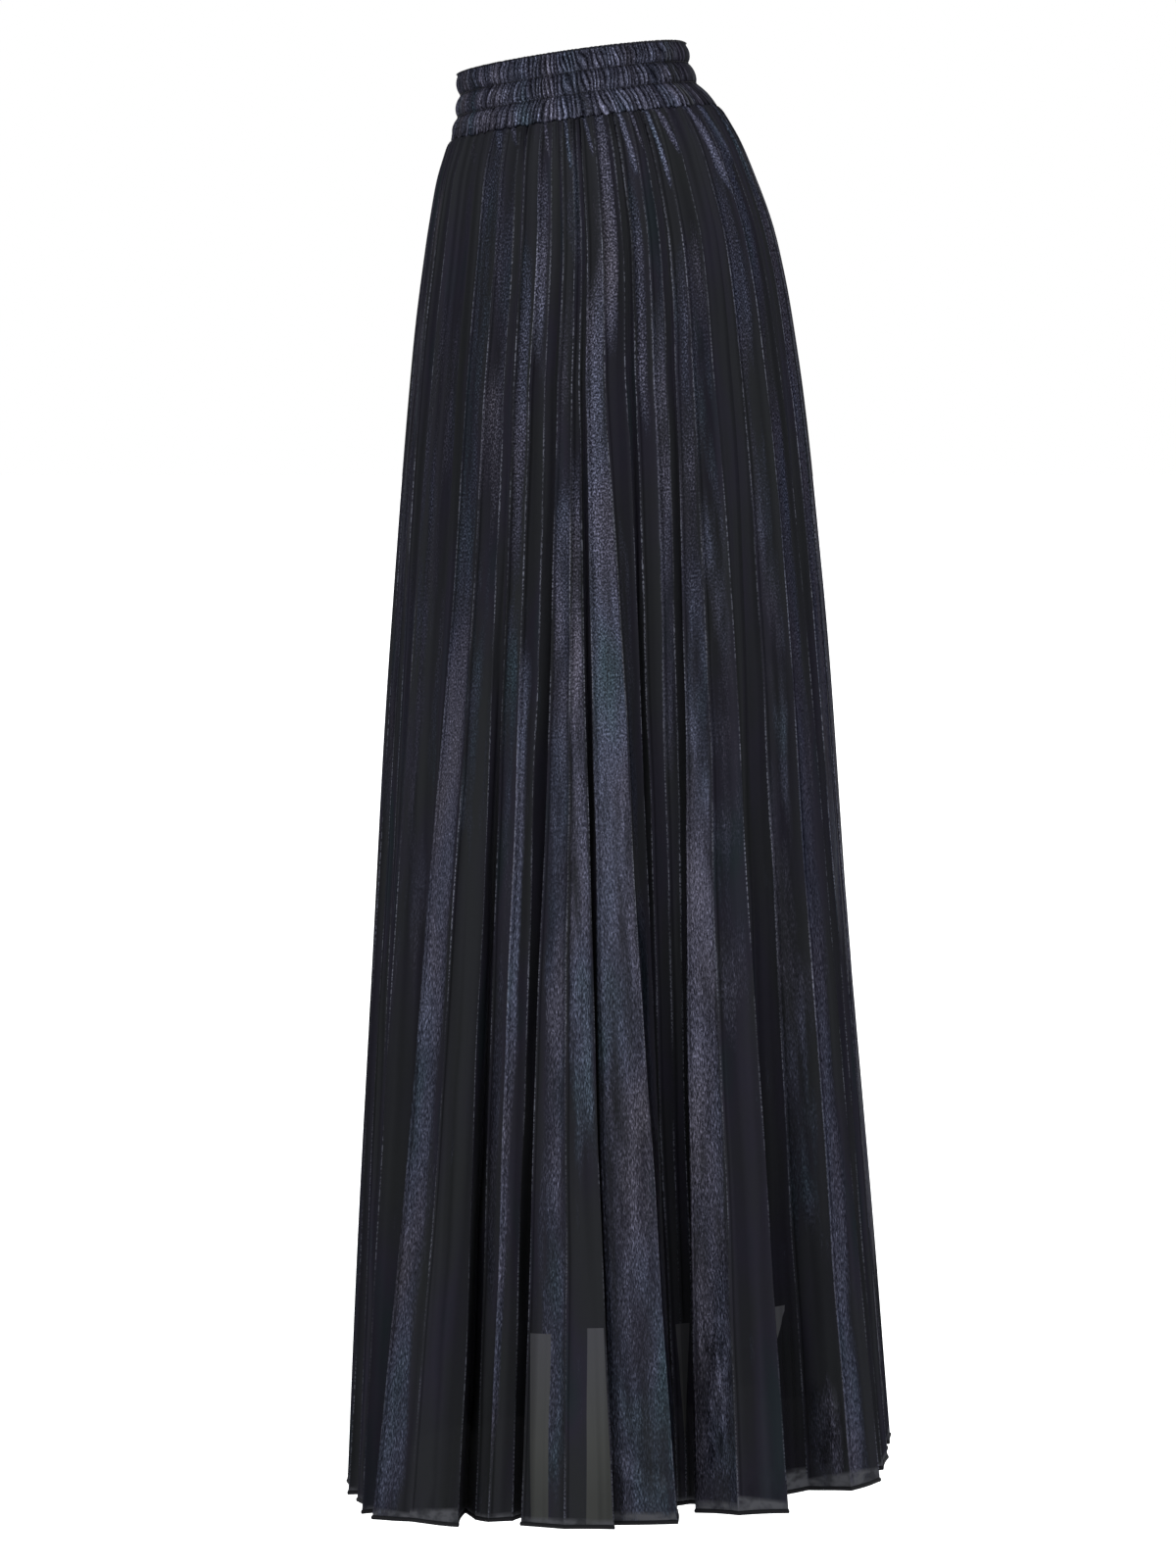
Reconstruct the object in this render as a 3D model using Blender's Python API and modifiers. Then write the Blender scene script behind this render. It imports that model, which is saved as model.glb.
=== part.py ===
"""Pleated maxi skirt with a shirred elastic waistband and a shorter lining, filled out as worn.

Frame: metres, +Z up. The origin is the middle of the waist, where the wearer holds the skirt
up. The wearer faces -Y, so +X is the wearer's left side. Each piece is one cut of cloth: the
waistband, the pleated skirt and the lining each have a front and a back, joined at two side
seams. The skirt's cloth is pleated sunray fashion: every panel between two creases widens
from the waist to the hem, and lower down the creases gather into broad folds with deep
grooves between them.
"""
import math
from collections import namedtuple

import bmesh
import bpy
import numpy as np

CM = 0.01
MM = 0.001

# ---- driving sizes --------------------------------------------------------------------
SKIRT_WALL = 1.3 * MM
LINING_WALL = 1.0 * MM
BAND_WALL = 3.0 * MM
SEAM_GAP = 0.3 * MM
LINING_TOP_INSET = 2.1 * MM    # the lining's outer face, inside the skirt's, at the waist seam
LINING_HEM_DROP = 87.0         # cm below the origin
LINING_SHARE = 0.75            # the lining's size at its hem, as a share of the skirt's there
LINING_COLUMNS = 44            # points round each half of the lining
GATHERS_PER_TIER = 44          # elastic gathers all round, in each of the band's three tiers
GATHER_RELIEF = 1.1 * MM
TIER_PUFF = 3.0 * MM
CREASE_ROUND = 0.9 * MM        # half the width of the turned cloth in a groove

# The rings that a cross-section follows, in centimetres. drop is the height where the ring
# crosses the side seam's plane, tilt its rise per centimetre towards the back, front and
# back its ends along Y, and side its half width.
Ring = namedtuple("Ring", "drop tilt front back side")
SKIRT_RINGS = [
    Ring(-2.20, 0.131, -9.37, 9.37, 13.2),
    Ring(-4.73, 0.129, -10.39, 11.00, 14.4),
    Ring(-7.93, 0.127, -11.04, 12.35, 15.6),
    Ring(-11.1, 0.125, -11.51, 13.46, 16.6),
    Ring(-14.7, 0.123, -11.98, 14.31, 17.4),
    Ring(-20.7, 0.122, -12.57, 15.31, 18.2),
    Ring(-36.6, 0.115, -13.82, 17.10, 19.3),
    Ring(-64.6, 0.103, -15.63, 19.41, 20.9),
    Ring(-100.0, 0.086, -17.53, 22.56, 22.3),
]
HIP_DROP = -20.7
ROW_DROPS = (-2.2, -3.6, -5.6, -8.2, -11.4, -15.4, -20.7, -27.5, -36, -46, -57, -68, -79, -90, -100)

BAND_RINGS = [
    Ring(2.45, 0.139, -8.94, 7.11, 11.7),
    Ring(0.88, 0.142, -8.87, 7.47, 12.2),
    Ring(-0.70, 0.143, -9.09, 8.10, 12.7),
    Ring(-2.17, 0.131, -9.37, 9.37, 13.2),
]
TIER_ROWS = 4                  # steps down each tier

# The folds of the wearer's left side, front to back. Each has a left edge, a middle crease,
# a right edge and the bottom of the groove after it. The hip columns are degrees round
# from the centre front; the hem columns are places on the plan in centimetres, side and
# back of the origin. bow is above 1 where a fold spreads late on its way down. The first
# fold starts at its middle and the last ends there.
Fold = namedtuple("Fold", "bow hip_left hip_mid hip_right hip_groove left mid right groove")
LEFT_SIDE = [
    Fold(1.20, None, 0, 5.5, 11, None, (0.3, -17.4), (4.4, -17.1), (5.5, -14.0)),
    Fold(1.20, 16.5, 22, 28.4, 36, (6.8, -16.4), (9.2, -15.3), (11.0, -15.9), (11.2, -12.8)),
    Fold(1.30, 46.5, 54, 60.0, 61.6, (13.0, -15.0), (14.7, -12.3), (17.7, -8.8), (13.6, -8.4)),
    Fold(1.15, 63.2, 68.6, 73.0, 74.6, (15.9, -7.6), (16.9, -6.7), (17.2, -5.1), (15.3, -3.1)),
    Fold(1.00, 77.0, 81.2, 83.4, 84.6, (18.9, -4.4), (21.0, -1.3), (22.3, 2.1), (18.6, 1.4)),
    Fold(0.85, 86.0, 90.0, 95.6, 97.0, (20.6, 2.6), (22.4, 6.5), (19.0, 6.5), (17.4, 5.0)),
    Fold(0.85, 98.6, 104, 108, 109.6, (16.8, 6.6), (16.6, 7.2), (16.8, 7.9), (17.6, 9.2)),
    Fold(0.85, 111.3, 115.8, 123, 128, (19.5, 7.8), (21.3, 10.8), (22.0, 14.2), (16.8, 13.4)),
    Fold(0.80, 133.5, 143, 152, 156, (15.4, 15.8), (16.8, 18.8), (14.6, 20.9), (11.9, 18.6)),
    Fold(0.90, 160, 164, 168, 171, (11.0, 21.3), (7.6, 21.9), (4.6, 22.0), (3.6, 19.2)),
    Fold(1.00, 174.5, 180, None, None, (2.7, 22.2), (0.2, 22.5), None, None),
]
HIP_RIDGE = 1.4 * MM           # how far a middle crease stands out at the hip, and an edge in
HIP_GROOVE = 8.0 * MM          # how deep a groove is at the hip
WAIST_SPREAD = 4.0             # degrees that the side's creases lie further back at the waist
SIDE_SEAM = 16                 # the crease at each side seam, counted from the centre front

# The right side has folds of the same kind, none in the same place.
RIGHT_SHIFT = 0.55             # cm that a crease is moved round the hem, forward or back
RIGHT_DEPTH = 0.035            # share that it is moved in or out

BAND_COLOUR = (0.020, 0.022, 0.032)
SKIRT_COLOUR = (0.018, 0.020, 0.030)
LINING_COLOUR = (0.006, 0.006, 0.007)


# ---- rings ----------------------------------------------------------------------------
def smooth_through(xs, ys, x):
    """The height at x of a curve through the points, with each slope that of its neighbours."""
    xs = np.asarray(xs, float)
    ys = np.asarray(ys, float)
    slopes = np.gradient(ys, xs)
    i = int(np.clip(np.searchsorted(xs, x) - 1, 0, len(xs) - 2))
    step = xs[i + 1] - xs[i]
    t = (x - xs[i]) / step
    return ((2 * t**3 - 3 * t**2 + 1) * ys[i] + (t**3 - 2 * t**2 + t) * step * slopes[i]
            + (3 * t**2 - 2 * t**3) * ys[i + 1] + (t**3 - t**2) * step * slopes[i + 1])


def ring_at(rings, drop):
    """The ring of a table at any height."""
    rising = sorted(rings)
    drops = [ring.drop for ring in rising]
    columns = [smooth_through(drops, [ring[k] for ring in rising], drop) for k in range(1, 5)]
    return Ring(drop, *columns)


def on_ring(ring, across, along):
    """A point in metres: across and along are -1 to 1 of the ring's half width and depth."""
    middle = (ring.front + ring.back) / 2
    back = middle + along * (ring.back - ring.front) / 2
    return (across * ring.side * CM, back * CM, (ring.drop + ring.tilt * back) * CM)


def round_ring(degrees, size=1.0):
    """The ring's own coordinates at an angle from the centre front."""
    turn = math.radians(degrees)
    return np.array([size * math.sin(turn), -size * math.cos(turn)])


# ---- creases --------------------------------------------------------------------------
Crease = namedtuple("Crease", "kind bow hip hem")


def side_creases(folds):
    """The creases of one side from the centre front to the centre back."""
    creases = []
    for fold in folds:
        parts = (("edge", fold.hip_left, fold.left), ("middle", fold.hip_mid, fold.mid),
                 ("edge", fold.hip_right, fold.right), ("groove", fold.hip_groove, fold.groove))
        creases += [Crease(kind, fold.bow, hip, hem) for kind, hip, hem in parts if hem]
    return creases


def other_side(creases):
    """The right side's creases: mirrored, and each moved a little round and in or out."""
    moved = []
    for k, crease in enumerate(creases):
        fade = math.sin(math.pi * k / (len(creases) - 1)) ** 0.5
        round_by = RIGHT_SHIFT * fade * math.sin(2.4 * (k // 4) + 1.0)
        size = 1 + RIGHT_DEPTH * fade * math.sin(1.7 * (k // 4) + 2.0)
        side, back = crease.hem
        length = math.hypot(side, back)
        turned = (side * size - back / length * round_by, back * size + side / length * round_by)
        hip = crease.hip + 1.2 * fade * math.sin(2.4 * (k // 4) + 1.0)
        moved.append(crease._replace(hip=hip, hem=(-turned[0], turned[1])))
    return moved


def crease_loop():
    """All the creases round the skirt: left side front to back, then right side back to front."""
    left = side_creases(LEFT_SIDE)
    right = [crease._replace(hip=-crease.hip) for crease in other_side(left)]
    return left + right[-2:0:-1]


def crease_place(crease, drop):
    """Where a crease crosses the ring at this height, in the ring's own coordinates."""
    top = SKIRT_RINGS[0].drop
    hem_ring = SKIRT_RINGS[-1]
    ring = ring_at(SKIRT_RINGS, drop)
    depth = (ring.side + (ring.back - ring.front) / 2) / 2 * CM
    above = min(1.0, (drop - top) / (HIP_DROP - top))
    below = max(0.0, (drop - HIP_DROP) / (hem_ring.drop - HIP_DROP))
    spread = WAIST_SPREAD * math.sin(math.radians(crease.hip)) * abs(math.sin(math.radians(crease.hip)))
    relief = {"edge": -HIP_RIDGE, "middle": HIP_RIDGE, "groove": -HIP_GROOVE}[crease.kind]
    shown = 0.03 + 0.97 * above ** 0.4
    upper = round_ring(crease.hip + spread * (1 - above), 1 + relief * shown / depth)
    half_depth = (hem_ring.back - hem_ring.front) / 2
    middle = (hem_ring.back + hem_ring.front) / 2
    lower = np.array([crease.hem[0] / hem_ring.side, (crease.hem[1] - middle) / half_depth])
    return upper + (lower - upper) * below ** crease.bow


def crease_row(loop, drop):
    """The skirt's outline at one height: two points in a groove and one on any other crease."""
    ring = ring_at(SKIRT_RINGS, drop)
    places = np.array([on_ring(ring, *crease_place(crease, drop)) for crease in loop])
    points = []
    for k, crease in enumerate(loop):
        here = places[k]
        if crease.kind != "groove":
            points.append(here)
            continue
        before = places[k - 1]
        after = places[(k + 1) % len(loop)]
        across = (after - before) / np.linalg.norm(after - before)
        points.append(here - across * CREASE_ROUND)
        points.append(here + across * CREASE_ROUND)
    return points


def loop_columns(loop):
    """The first column of each crease in crease_row."""
    columns = []
    count = 0
    for crease in loop:
        columns.append(count)
        count += 2 if crease.kind == "groove" else 1
    return columns


# ---- meshes ---------------------------------------------------------------------------
def set_back(points, gaps):
    """The run with its first and last point moved in along it, which leaves room for the seams."""
    points = [np.array(point) for point in points]
    for end, neighbour, gap in ((0, 1, gaps[0]), (-1, -2, gaps[1])):
        inward = points[neighbour] - points[end]
        points[end] = points[end] + inward / np.linalg.norm(inward) * gap
    return points


def seam_gap(before, seam, after, wall):
    """How far a wall's edge stays from the seam: half the gap, and more on a turned seam."""
    incoming = (seam - before) / np.linalg.norm(seam - before)
    outgoing = (after - seam) / np.linalg.norm(after - seam)
    turn = math.acos(min(1.0, float(incoming @ outgoing)))
    return SEAM_GAP / 2 + wall * math.tan(turn / 2)


def sheet_object(name, rows, thickness, material, collection):
    """An open sheet from rows of points, thickened inwards by Solidify."""
    width = len(rows[0])
    grid = bmesh.new()
    points = [[grid.verts.new(point) for point in row] for row in rows]
    for upper, lower in zip(points, points[1:]):
        for k in range(width - 1):
            grid.faces.new((upper[k], lower[k], lower[k + 1], upper[k + 1]))
    mesh = bpy.data.meshes.new(name)
    grid.to_mesh(mesh)
    grid.free()
    piece = bpy.data.objects.new(name, mesh)
    piece.data.materials.append(material)
    collection.objects.link(piece)
    wall = piece.modifiers.new("cloth", "SOLIDIFY")
    wall.thickness = thickness
    wall.offset = -1
    return piece


def cloth_material(name, colour, roughness, metallic):
    material = bpy.data.materials.new(name)
    material.use_nodes = True
    shader = material.node_tree.nodes["Principled BSDF"]
    shader.inputs["Base Color"].default_value = (*colour, 1)
    shader.inputs["Roughness"].default_value = roughness
    shader.inputs["Metallic"].default_value = metallic
    return material


# ---- skirt ----------------------------------------------------------------------------
def make_skirt(collection):
    """The pleated front and back, from the waist seam to the hem."""
    loop = crease_loop()
    columns = loop_columns(loop)
    last = len(loop)
    left_seam = columns[SIDE_SEAM]
    right_seam = columns[last - SIDE_SEAM]
    rows = [crease_row(loop, drop) for drop in ROW_DROPS]
    ends = {"skirt_back": (left_seam, right_seam), "skirt_front": (right_seam, left_seam)}
    for name, (start, stop) in ends.items():
        material = cloth_material(name, SKIRT_COLOUR, 0.42, 0.35)
        piece_rows = []
        for row in rows:
            run = row[start:stop + 1] if start < stop else row[start:] + row[:stop + 1]
            gaps = [seam_gap(row[k - 1], row[k], row[k + 1], SKIRT_WALL) for k in (start, stop)]
            piece_rows.append(set_back(run, gaps))
        sheet_object(name, piece_rows, SKIRT_WALL, material, collection)


# ---- lining ---------------------------------------------------------------------------
def lining_row(drop, start, stop):
    """One row of the lining between two angles from the centre front."""
    top = SKIRT_RINGS[0].drop
    ring = ring_at(SKIRT_RINGS, drop)
    depth = (ring.side + (ring.back - ring.front) / 2) / 2 * CM
    down = (drop - top) / (-LINING_HEM_DROP - top)
    hip_down = (HIP_DROP - top) / (-LINING_HEM_DROP - top)
    inset = LINING_TOP_INSET + (HIP_GROOVE + 2.5 * MM) * min(1.0, down / hip_down) ** 0.4
    at_hip = 1 - inset / depth
    size = at_hip + (LINING_SHARE - at_hip) * max(0.0, (down - hip_down) / (1 - hip_down)) ** 0.85
    turns = np.linspace(start, stop, LINING_COLUMNS + 1)
    return [np.array(on_ring(ring, *round_ring(turn, size))) for turn in turns]


def make_lining(collection):
    """The plain lining, front and back, open at both ends."""
    drops = [drop for drop in ROW_DROPS if drop > -LINING_HEM_DROP] + [-LINING_HEM_DROP]
    for name, start, stop in (("lining_front", -84, 84), ("lining_back", 84, 276)):
        material = cloth_material(name, LINING_COLOUR, 0.75, 0.0)
        rows = [set_back(lining_row(drop, start, stop), (SEAM_GAP, SEAM_GAP)) for drop in drops]
        sheet_object(name, rows, LINING_WALL, material, collection)


# ---- waistband ------------------------------------------------------------------------
def band_point(turn, share, relief):
    """A point on the band: share 0 at the rim to 1 at the skirt, relief out from its ring."""
    drops = [ring.drop for ring in BAND_RINGS]
    drop = drops[0] + share * (drops[-1] + SEAM_GAP - drops[0])
    ring = ring_at(BAND_RINGS, drop)
    point = np.array(on_ring(ring, *round_ring(turn)))
    out = np.array([math.sin(math.radians(turn)) / ring.side,
                    -2 * math.cos(math.radians(turn)) / (ring.back - ring.front), 0.0])
    return point + out / np.linalg.norm(out) * relief


def gather_relief(turn, tier, down):
    """How far the band stands out: the tier's puff and its slanted gathers."""
    puff = TIER_PUFF * math.sin(math.pi * down) ** 0.6
    slant = (-5.0, 4.0, 5.0)[tier] * down
    wander = 0.9 * math.sin(math.radians(5 * turn) + 2.1 * tier)
    phase = math.radians(GATHERS_PER_TIER * (turn + slant)) + wander
    return puff + GATHER_RELIEF * math.sin(phase) * math.sin(math.pi * down) ** 0.5


def band_object(name, start, stop, material, collection):
    """One half of the band: a gathered outer face over a plain inner face."""
    columns = int(round((stop - start) / 360 * GATHERS_PER_TIER * 3))
    turns = np.linspace(start, stop, columns + 1)
    tiers = len(BAND_RINGS) - 1
    outer_rows = []
    for k in range(tiers * TIER_ROWS + 1):
        tier = min(k // TIER_ROWS, tiers - 1)
        down = k / TIER_ROWS - tier
        share = k / (tiers * TIER_ROWS)
        row = [band_point(turn, share, gather_relief(turn, tier, down)) for turn in turns]
        outer_rows.append(set_back(row, (SEAM_GAP, SEAM_GAP)))
    inner_rows = []
    for share in (0.0, 0.5, 1.0):
        row = [band_point(turn, share, -BAND_WALL) for turn in turns]
        inner_rows.append(set_back(row, (SEAM_GAP, SEAM_GAP)))
    rows = outer_rows + inner_rows[::-1]
    mesh = bpy.data.meshes.new(name)
    shell = bmesh.new()
    points = [[shell.verts.new(point) for point in row] for row in rows]
    for k, upper in enumerate(points):
        lower = points[(k + 1) % len(points)]
        for c in range(columns):
            shell.faces.new((upper[c], lower[c], lower[c + 1], upper[c + 1]))
    shell.faces.new([row[0] for row in reversed(points)])
    shell.faces.new([row[-1] for row in points])
    bmesh.ops.recalc_face_normals(shell, faces=shell.faces)
    bmesh.ops.triangulate(shell, faces=shell.faces)
    shell.to_mesh(mesh)
    shell.free()
    piece = bpy.data.objects.new(name, mesh)
    piece.data.materials.append(material)
    collection.objects.link(piece)


def make_waistband(collection):
    """The elastic band's front and back halves, in three puffed and gathered tiers."""
    for name, start, stop in (("waistband_front", -86, 86), ("waistband_back", 86, 274)):
        material = cloth_material(name, BAND_COLOUR, 0.45, 0.35)
        band_object(name, start, stop, material, collection)


def main():
    for leftover in list(bpy.data.objects):
        bpy.data.objects.remove(leftover)
    collection = bpy.data.collections.new("pleated_maxi_skirt")
    bpy.context.scene.collection.children.link(collection)
    make_waistband(collection)
    make_skirt(collection)
    make_lining(collection)


main()
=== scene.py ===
# %% [markdown]
# # A pleated maxi skirt, piece by piece
#
# The skirt is a tube of thin dark cloth. It hangs from an elastic waistband, it is pressed into
# narrow pleats that widen towards the hem, and it has a shorter black lining inside. The solids
# of each piece are already packed as a plain CAD model. This file dresses them: it makes the
# thin cloth, the creases, the gathers, the hems and the stitches, and then the light.
#
# Everything is in metres. +Z is up, the wearer faces -Y, and +X is the wearer's left.

import math

import bpy
import numpy as np
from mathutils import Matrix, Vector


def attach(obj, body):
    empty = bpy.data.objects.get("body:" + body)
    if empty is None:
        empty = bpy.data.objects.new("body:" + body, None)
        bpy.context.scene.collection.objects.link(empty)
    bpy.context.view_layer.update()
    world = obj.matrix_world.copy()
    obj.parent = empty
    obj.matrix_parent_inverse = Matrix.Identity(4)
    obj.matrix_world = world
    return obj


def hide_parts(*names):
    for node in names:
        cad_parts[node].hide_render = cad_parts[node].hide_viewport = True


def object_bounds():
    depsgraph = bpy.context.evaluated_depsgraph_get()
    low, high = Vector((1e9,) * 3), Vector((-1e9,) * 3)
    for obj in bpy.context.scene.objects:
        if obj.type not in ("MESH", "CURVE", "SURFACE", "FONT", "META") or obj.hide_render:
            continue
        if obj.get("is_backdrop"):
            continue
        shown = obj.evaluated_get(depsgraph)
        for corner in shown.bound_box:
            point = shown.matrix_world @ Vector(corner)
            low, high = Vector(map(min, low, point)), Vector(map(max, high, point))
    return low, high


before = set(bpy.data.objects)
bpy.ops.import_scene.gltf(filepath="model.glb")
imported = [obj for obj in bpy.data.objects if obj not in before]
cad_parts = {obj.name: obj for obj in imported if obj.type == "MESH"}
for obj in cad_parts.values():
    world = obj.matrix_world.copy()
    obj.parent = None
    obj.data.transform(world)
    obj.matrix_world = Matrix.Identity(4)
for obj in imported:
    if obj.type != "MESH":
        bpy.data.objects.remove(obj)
cad_box = [list(corner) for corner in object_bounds()]
print("CAD box", [[round(n, 4) for n in corner] for corner in cad_box])

# %% [markdown]
# ## The camera
#
# The photo was taken from the wearer's left, a little below the waist and nearly four metres away,
# with a long lens. A long lens keeps the two sides of the skirt nearly parallel. The camera is
# placed by its own numbers.

# %% Camera
CM = 0.01
MM = 0.001
CAMERA_PLACE = (3.80, 0.00284, -0.1595)  # metres from the middle of the waist
LOOKS_DOWN = 5.12  # degrees below level
LENS, FILM_WIDTH = 120.44, 36  # millimetres


def link_new(name, data):
    """An object with this data, put into the scene."""
    made = bpy.data.objects.new(name, data)
    bpy.context.scene.collection.objects.link(made)
    return made


camera = link_new("camera", bpy.data.cameras.new("camera"))
camera.location = CAMERA_PLACE
camera.rotation_euler = (math.radians(90 - LOOKS_DOWN), 0, math.radians(90))
camera.data.lens = LENS
camera.data.sensor_width = FILM_WIDTH
bpy.context.scene.camera = camera
print("camera at", CAMERA_PLACE)

# %% [markdown]
# ## Rings and creases
#
# A skirt is round, so its form is a stack of rings, each tilted because the waist sits lower in
# front. The pleats are lines that run down the rings. Between the hip and the hem each crease
# goes from a place on the hip ring to a place on the hem's plan, so the pleats spread as they
# fall. These tables are the solids' own, with a few creases moved by some millimetres, so the
# cloth lies where the solid is.

# %% The rings of the skirt and of the band
# Columns: drop, tilt, front, back, side. All in centimetres, and tilt is a rise per centimetre.
SKIRT_RINGS = np.array([
    (-2.20, 0.131, -9.37, 9.37, 13.2),
    (-4.73, 0.129, -10.39, 11.00, 14.4),
    (-7.93, 0.127, -11.04, 12.35, 15.6),
    (-11.1, 0.125, -11.51, 13.46, 16.6),
    (-14.7, 0.123, -11.98, 14.31, 17.4),
    (-20.7, 0.122, -12.57, 15.31, 18.2),
    (-36.6, 0.115, -13.82, 17.10, 19.3),
    (-64.6, 0.103, -15.63, 19.41, 20.9),
    (-100.0, 0.086, -17.53, 22.56, 22.3),
])
BAND_RINGS = np.array([
    (2.45, 0.139, -8.94, 7.11, 11.7),
    (0.88, 0.142, -8.87, 7.47, 12.2),
    (-0.70, 0.143, -9.09, 8.10, 12.7),
    (-2.17, 0.131, -9.37, 9.37, 13.2),
])
WAIST_DROP, HIP_DROP, HEM_DROP = -2.2, -20.7, -100.0


def smooth_through(known, values, wanted):
    """A smooth curve through known points. Between two points it is the cubic that meets both,
    and its slope at each is the slope of the points on either side."""
    order = np.argsort(known)
    known, values = known[order], values[order]
    slopes = np.gradient(values, known)
    i = np.clip(np.searchsorted(known, wanted) - 1, 0, len(known) - 2)
    step = known[i + 1] - known[i]
    t = (wanted - known[i]) / step
    return ((2 * t**3 - 3 * t**2 + 1) * values[i] + (t**3 - 2 * t**2 + t) * step * slopes[i]
            + (3 * t**2 - 2 * t**3) * values[i + 1] + (t**3 - t**2) * step * slopes[i + 1])


def rings_at(table, drops):
    """Tilt, front, back and side of the ring at each height, as columns."""
    return [smooth_through(table[:, 0], table[:, k], drops)[:, None] for k in range(1, 5)]


def on_rings(table, drops, across, along):
    """Points in metres, one row for each drop. X is across times the ring's half width, Y is its
    middle plus along times its half depth, and Z is the drop plus the tilt times Y."""
    tilt, front, back, side = rings_at(table, drops)
    y = (front + back) / 2 + along * (back - front) / 2
    return np.stack([across * side, y, drops[:, None] + tilt * y], axis=-1) * CM


def mean_radius(drops):
    """Metres from the skirt's middle to its ring, the mean of the side's and the depth's."""
    _, front, back, side = rings_at(SKIRT_RINGS, drops)
    return (side + (back - front) / 2) / 2 * CM


print("rings:", len(SKIRT_RINGS), "down the skirt and", len(BAND_RINGS), "down the band")

# %% The creases of the left side, fold by fold
# Each fold has a left edge, a middle, a right edge and a groove. Hip places are degrees round
# from the centre front. Hem places are centimetres to the side and to the back. The first
# number is the fold's bow: above 1, it spreads late on its way down.
LEFT_FOLDS = [
    (1.20, (None, 0, 5.5, 11), (None, (0.3, -17.4), (4.4, -17.1), (5.5, -14.0))),
    (1.20, (16.5, 22, 28.4, 36), ((6.8, -16.4), (9.2, -15.3), (11.0, -15.9), (11.2, -12.8))),
    (1.30, (46.5, 54, 60.0, 61.6), ((13.0, -15.0), (14.7, -12.3), (17.7, -8.8), (13.6, -8.4))),
    (1.15, (63.2, 68.6, 73.0, 74.6), ((15.9, -7.6), (16.9, -6.7), (17.2, -5.1), (15.3, -3.1))),
    (1.00, (77.0, 80.8, 82.6, 83.6), ((18.9, -4.4), (21.0, -1.3), (22.3, 2.1), (18.6, 0.7))),
    (0.70, (84.4, 88.9, 95.6, 97.0), ((21.1, 1.95), (22.4, 6.5), (19.0, 6.5), (17.4, 5.0))),
    (0.85, (98.6, 104, 108, 109.6), ((16.8, 6.6), (16.6, 7.2), (16.8, 7.9), (17.6, 9.2))),
    (0.85, (111.3, 115.8, 123, 128), ((19.5, 7.8), (21.3, 10.8), (22.0, 14.2), (16.8, 13.4))),
    (0.80, (133.5, 143, 152, 156), ((15.4, 15.8), (16.8, 18.8), (14.6, 20.9), (11.9, 18.6))),
    (0.90, (160, 164, 168, 171), ((11.0, 21.3), (7.6, 21.9), (4.6, 22.0), (3.6, 19.2))),
    (1.00, (174.5, 180, None, None), ((2.7, 22.2), (0.2, 22.5), None, None)),
]
EDGE, MIDDLE, GROOVE = 0, 1, 2
KINDS = (EDGE, MIDDLE, EDGE, GROOVE)
RELIEF = np.array([-0.8, 1.5, -2.6]) * MM  # how far each kind stands out at the hip
SIDE_SEAM = 16  # the crease at each side seam, from the front
GROOVE_SHARE = 0.72  # a groove's place at the hip, between two edges

left = np.array([(kind, bow, hip, *hem)
                 for bow, hips, hems in LEFT_FOLDS
                 for kind, hip, hem in zip(KINDS, hips, hems) if hem], float)
grooves = np.flatnonzero(left[:, 0] == GROOVE)
left[grooves, 2] = ((1 - GROOVE_SHARE) * left[grooves - 1, 2]
                    + GROOVE_SHARE * left[grooves + 1, 2])
print("creases on one side:", len(left))

# %% The right side: the same folds, none in the same place
# A slow swing from fold to fold moves each one round the skirt and changes its size. It fades
# to nothing at the centre front and the centre back, where the two sides meet.
HIP_SWING, HEM_SWING, SIZE_SWING = 1.2, 0.55, 0.035  # degrees, centimetres and a share

order = np.arange(len(left))
fold = order // len(KINDS)
fade = np.sin(math.pi * order / (len(left) - 1)) ** 0.5
swing = np.sin(2.4 * fold + 1.0)
moved = HEM_SWING * fade * swing
size = 1 + SIZE_SWING * fade * np.sin(1.7 * fold + 2.0)
kind, bow, hip, across, back = left.T
reach = np.hypot(across, back)
right = np.stack([kind, bow, -(hip + HIP_SWING * fade * swing),
                  -(across * size - back / reach * moved),
                  back * size + across / reach * moved], axis=1)
creases = np.concatenate([left, right[-2:0:-1]])
kind, bow, hip, hem_across, hem_back = creases.T
kind = kind.astype(int)
print("creases all round:", len(creases), "of them grooves:", int((kind == GROOVE).sum()))


def mirrored(panel):
    """The panel of one side that answers to one of the other."""
    return len(creases) - 1 - panel


# %% [markdown]
# ## Where a crease runs
#
# A pleat is pressed flat while the cloth is a flat sheet, so a crease is a nearly straight line
# in the worn skirt too. A cloth simulation could find those lines, but it would lose the
# pressed edges that the photo shows. So the creases are placed by a formula, and only the last
# millimetre, their slight wander, is random from a fixed seed.

# %% Crease lines
BEND = 0.1  # how long the soft bend at the hip is, as a share of the drop
BEND_START, BEND_SPAN = 0.0104, 0.992  # its value at the waist, and from there to the hem
ANGLE_SPREAD = 4.0  # degrees that the creases of the sides lie further back there
WANDERS = ((3.1, 0.5), (6.7, 0.22), (2.3, 0.4))  # waves per metre, and millimetres

luck = np.random.default_rng(11)
wander_phase = luck.uniform(0, 2 * math.pi, (4, len(creases)))


def unit(vectors):
    """Each vector divided by its length."""
    return vectors / np.maximum(np.linalg.norm(vectors, axis=-1, keepdims=True), 1e-12)


def outward_of(along):
    """The level direction that points out of the skirt, for steps that go round it from the
    centre front to the wearer's left: the step turned a quarter turn on the plan."""
    return unit(np.stack([along[..., 1], -along[..., 0], np.zeros(along.shape[:-1])], axis=-1))


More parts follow.
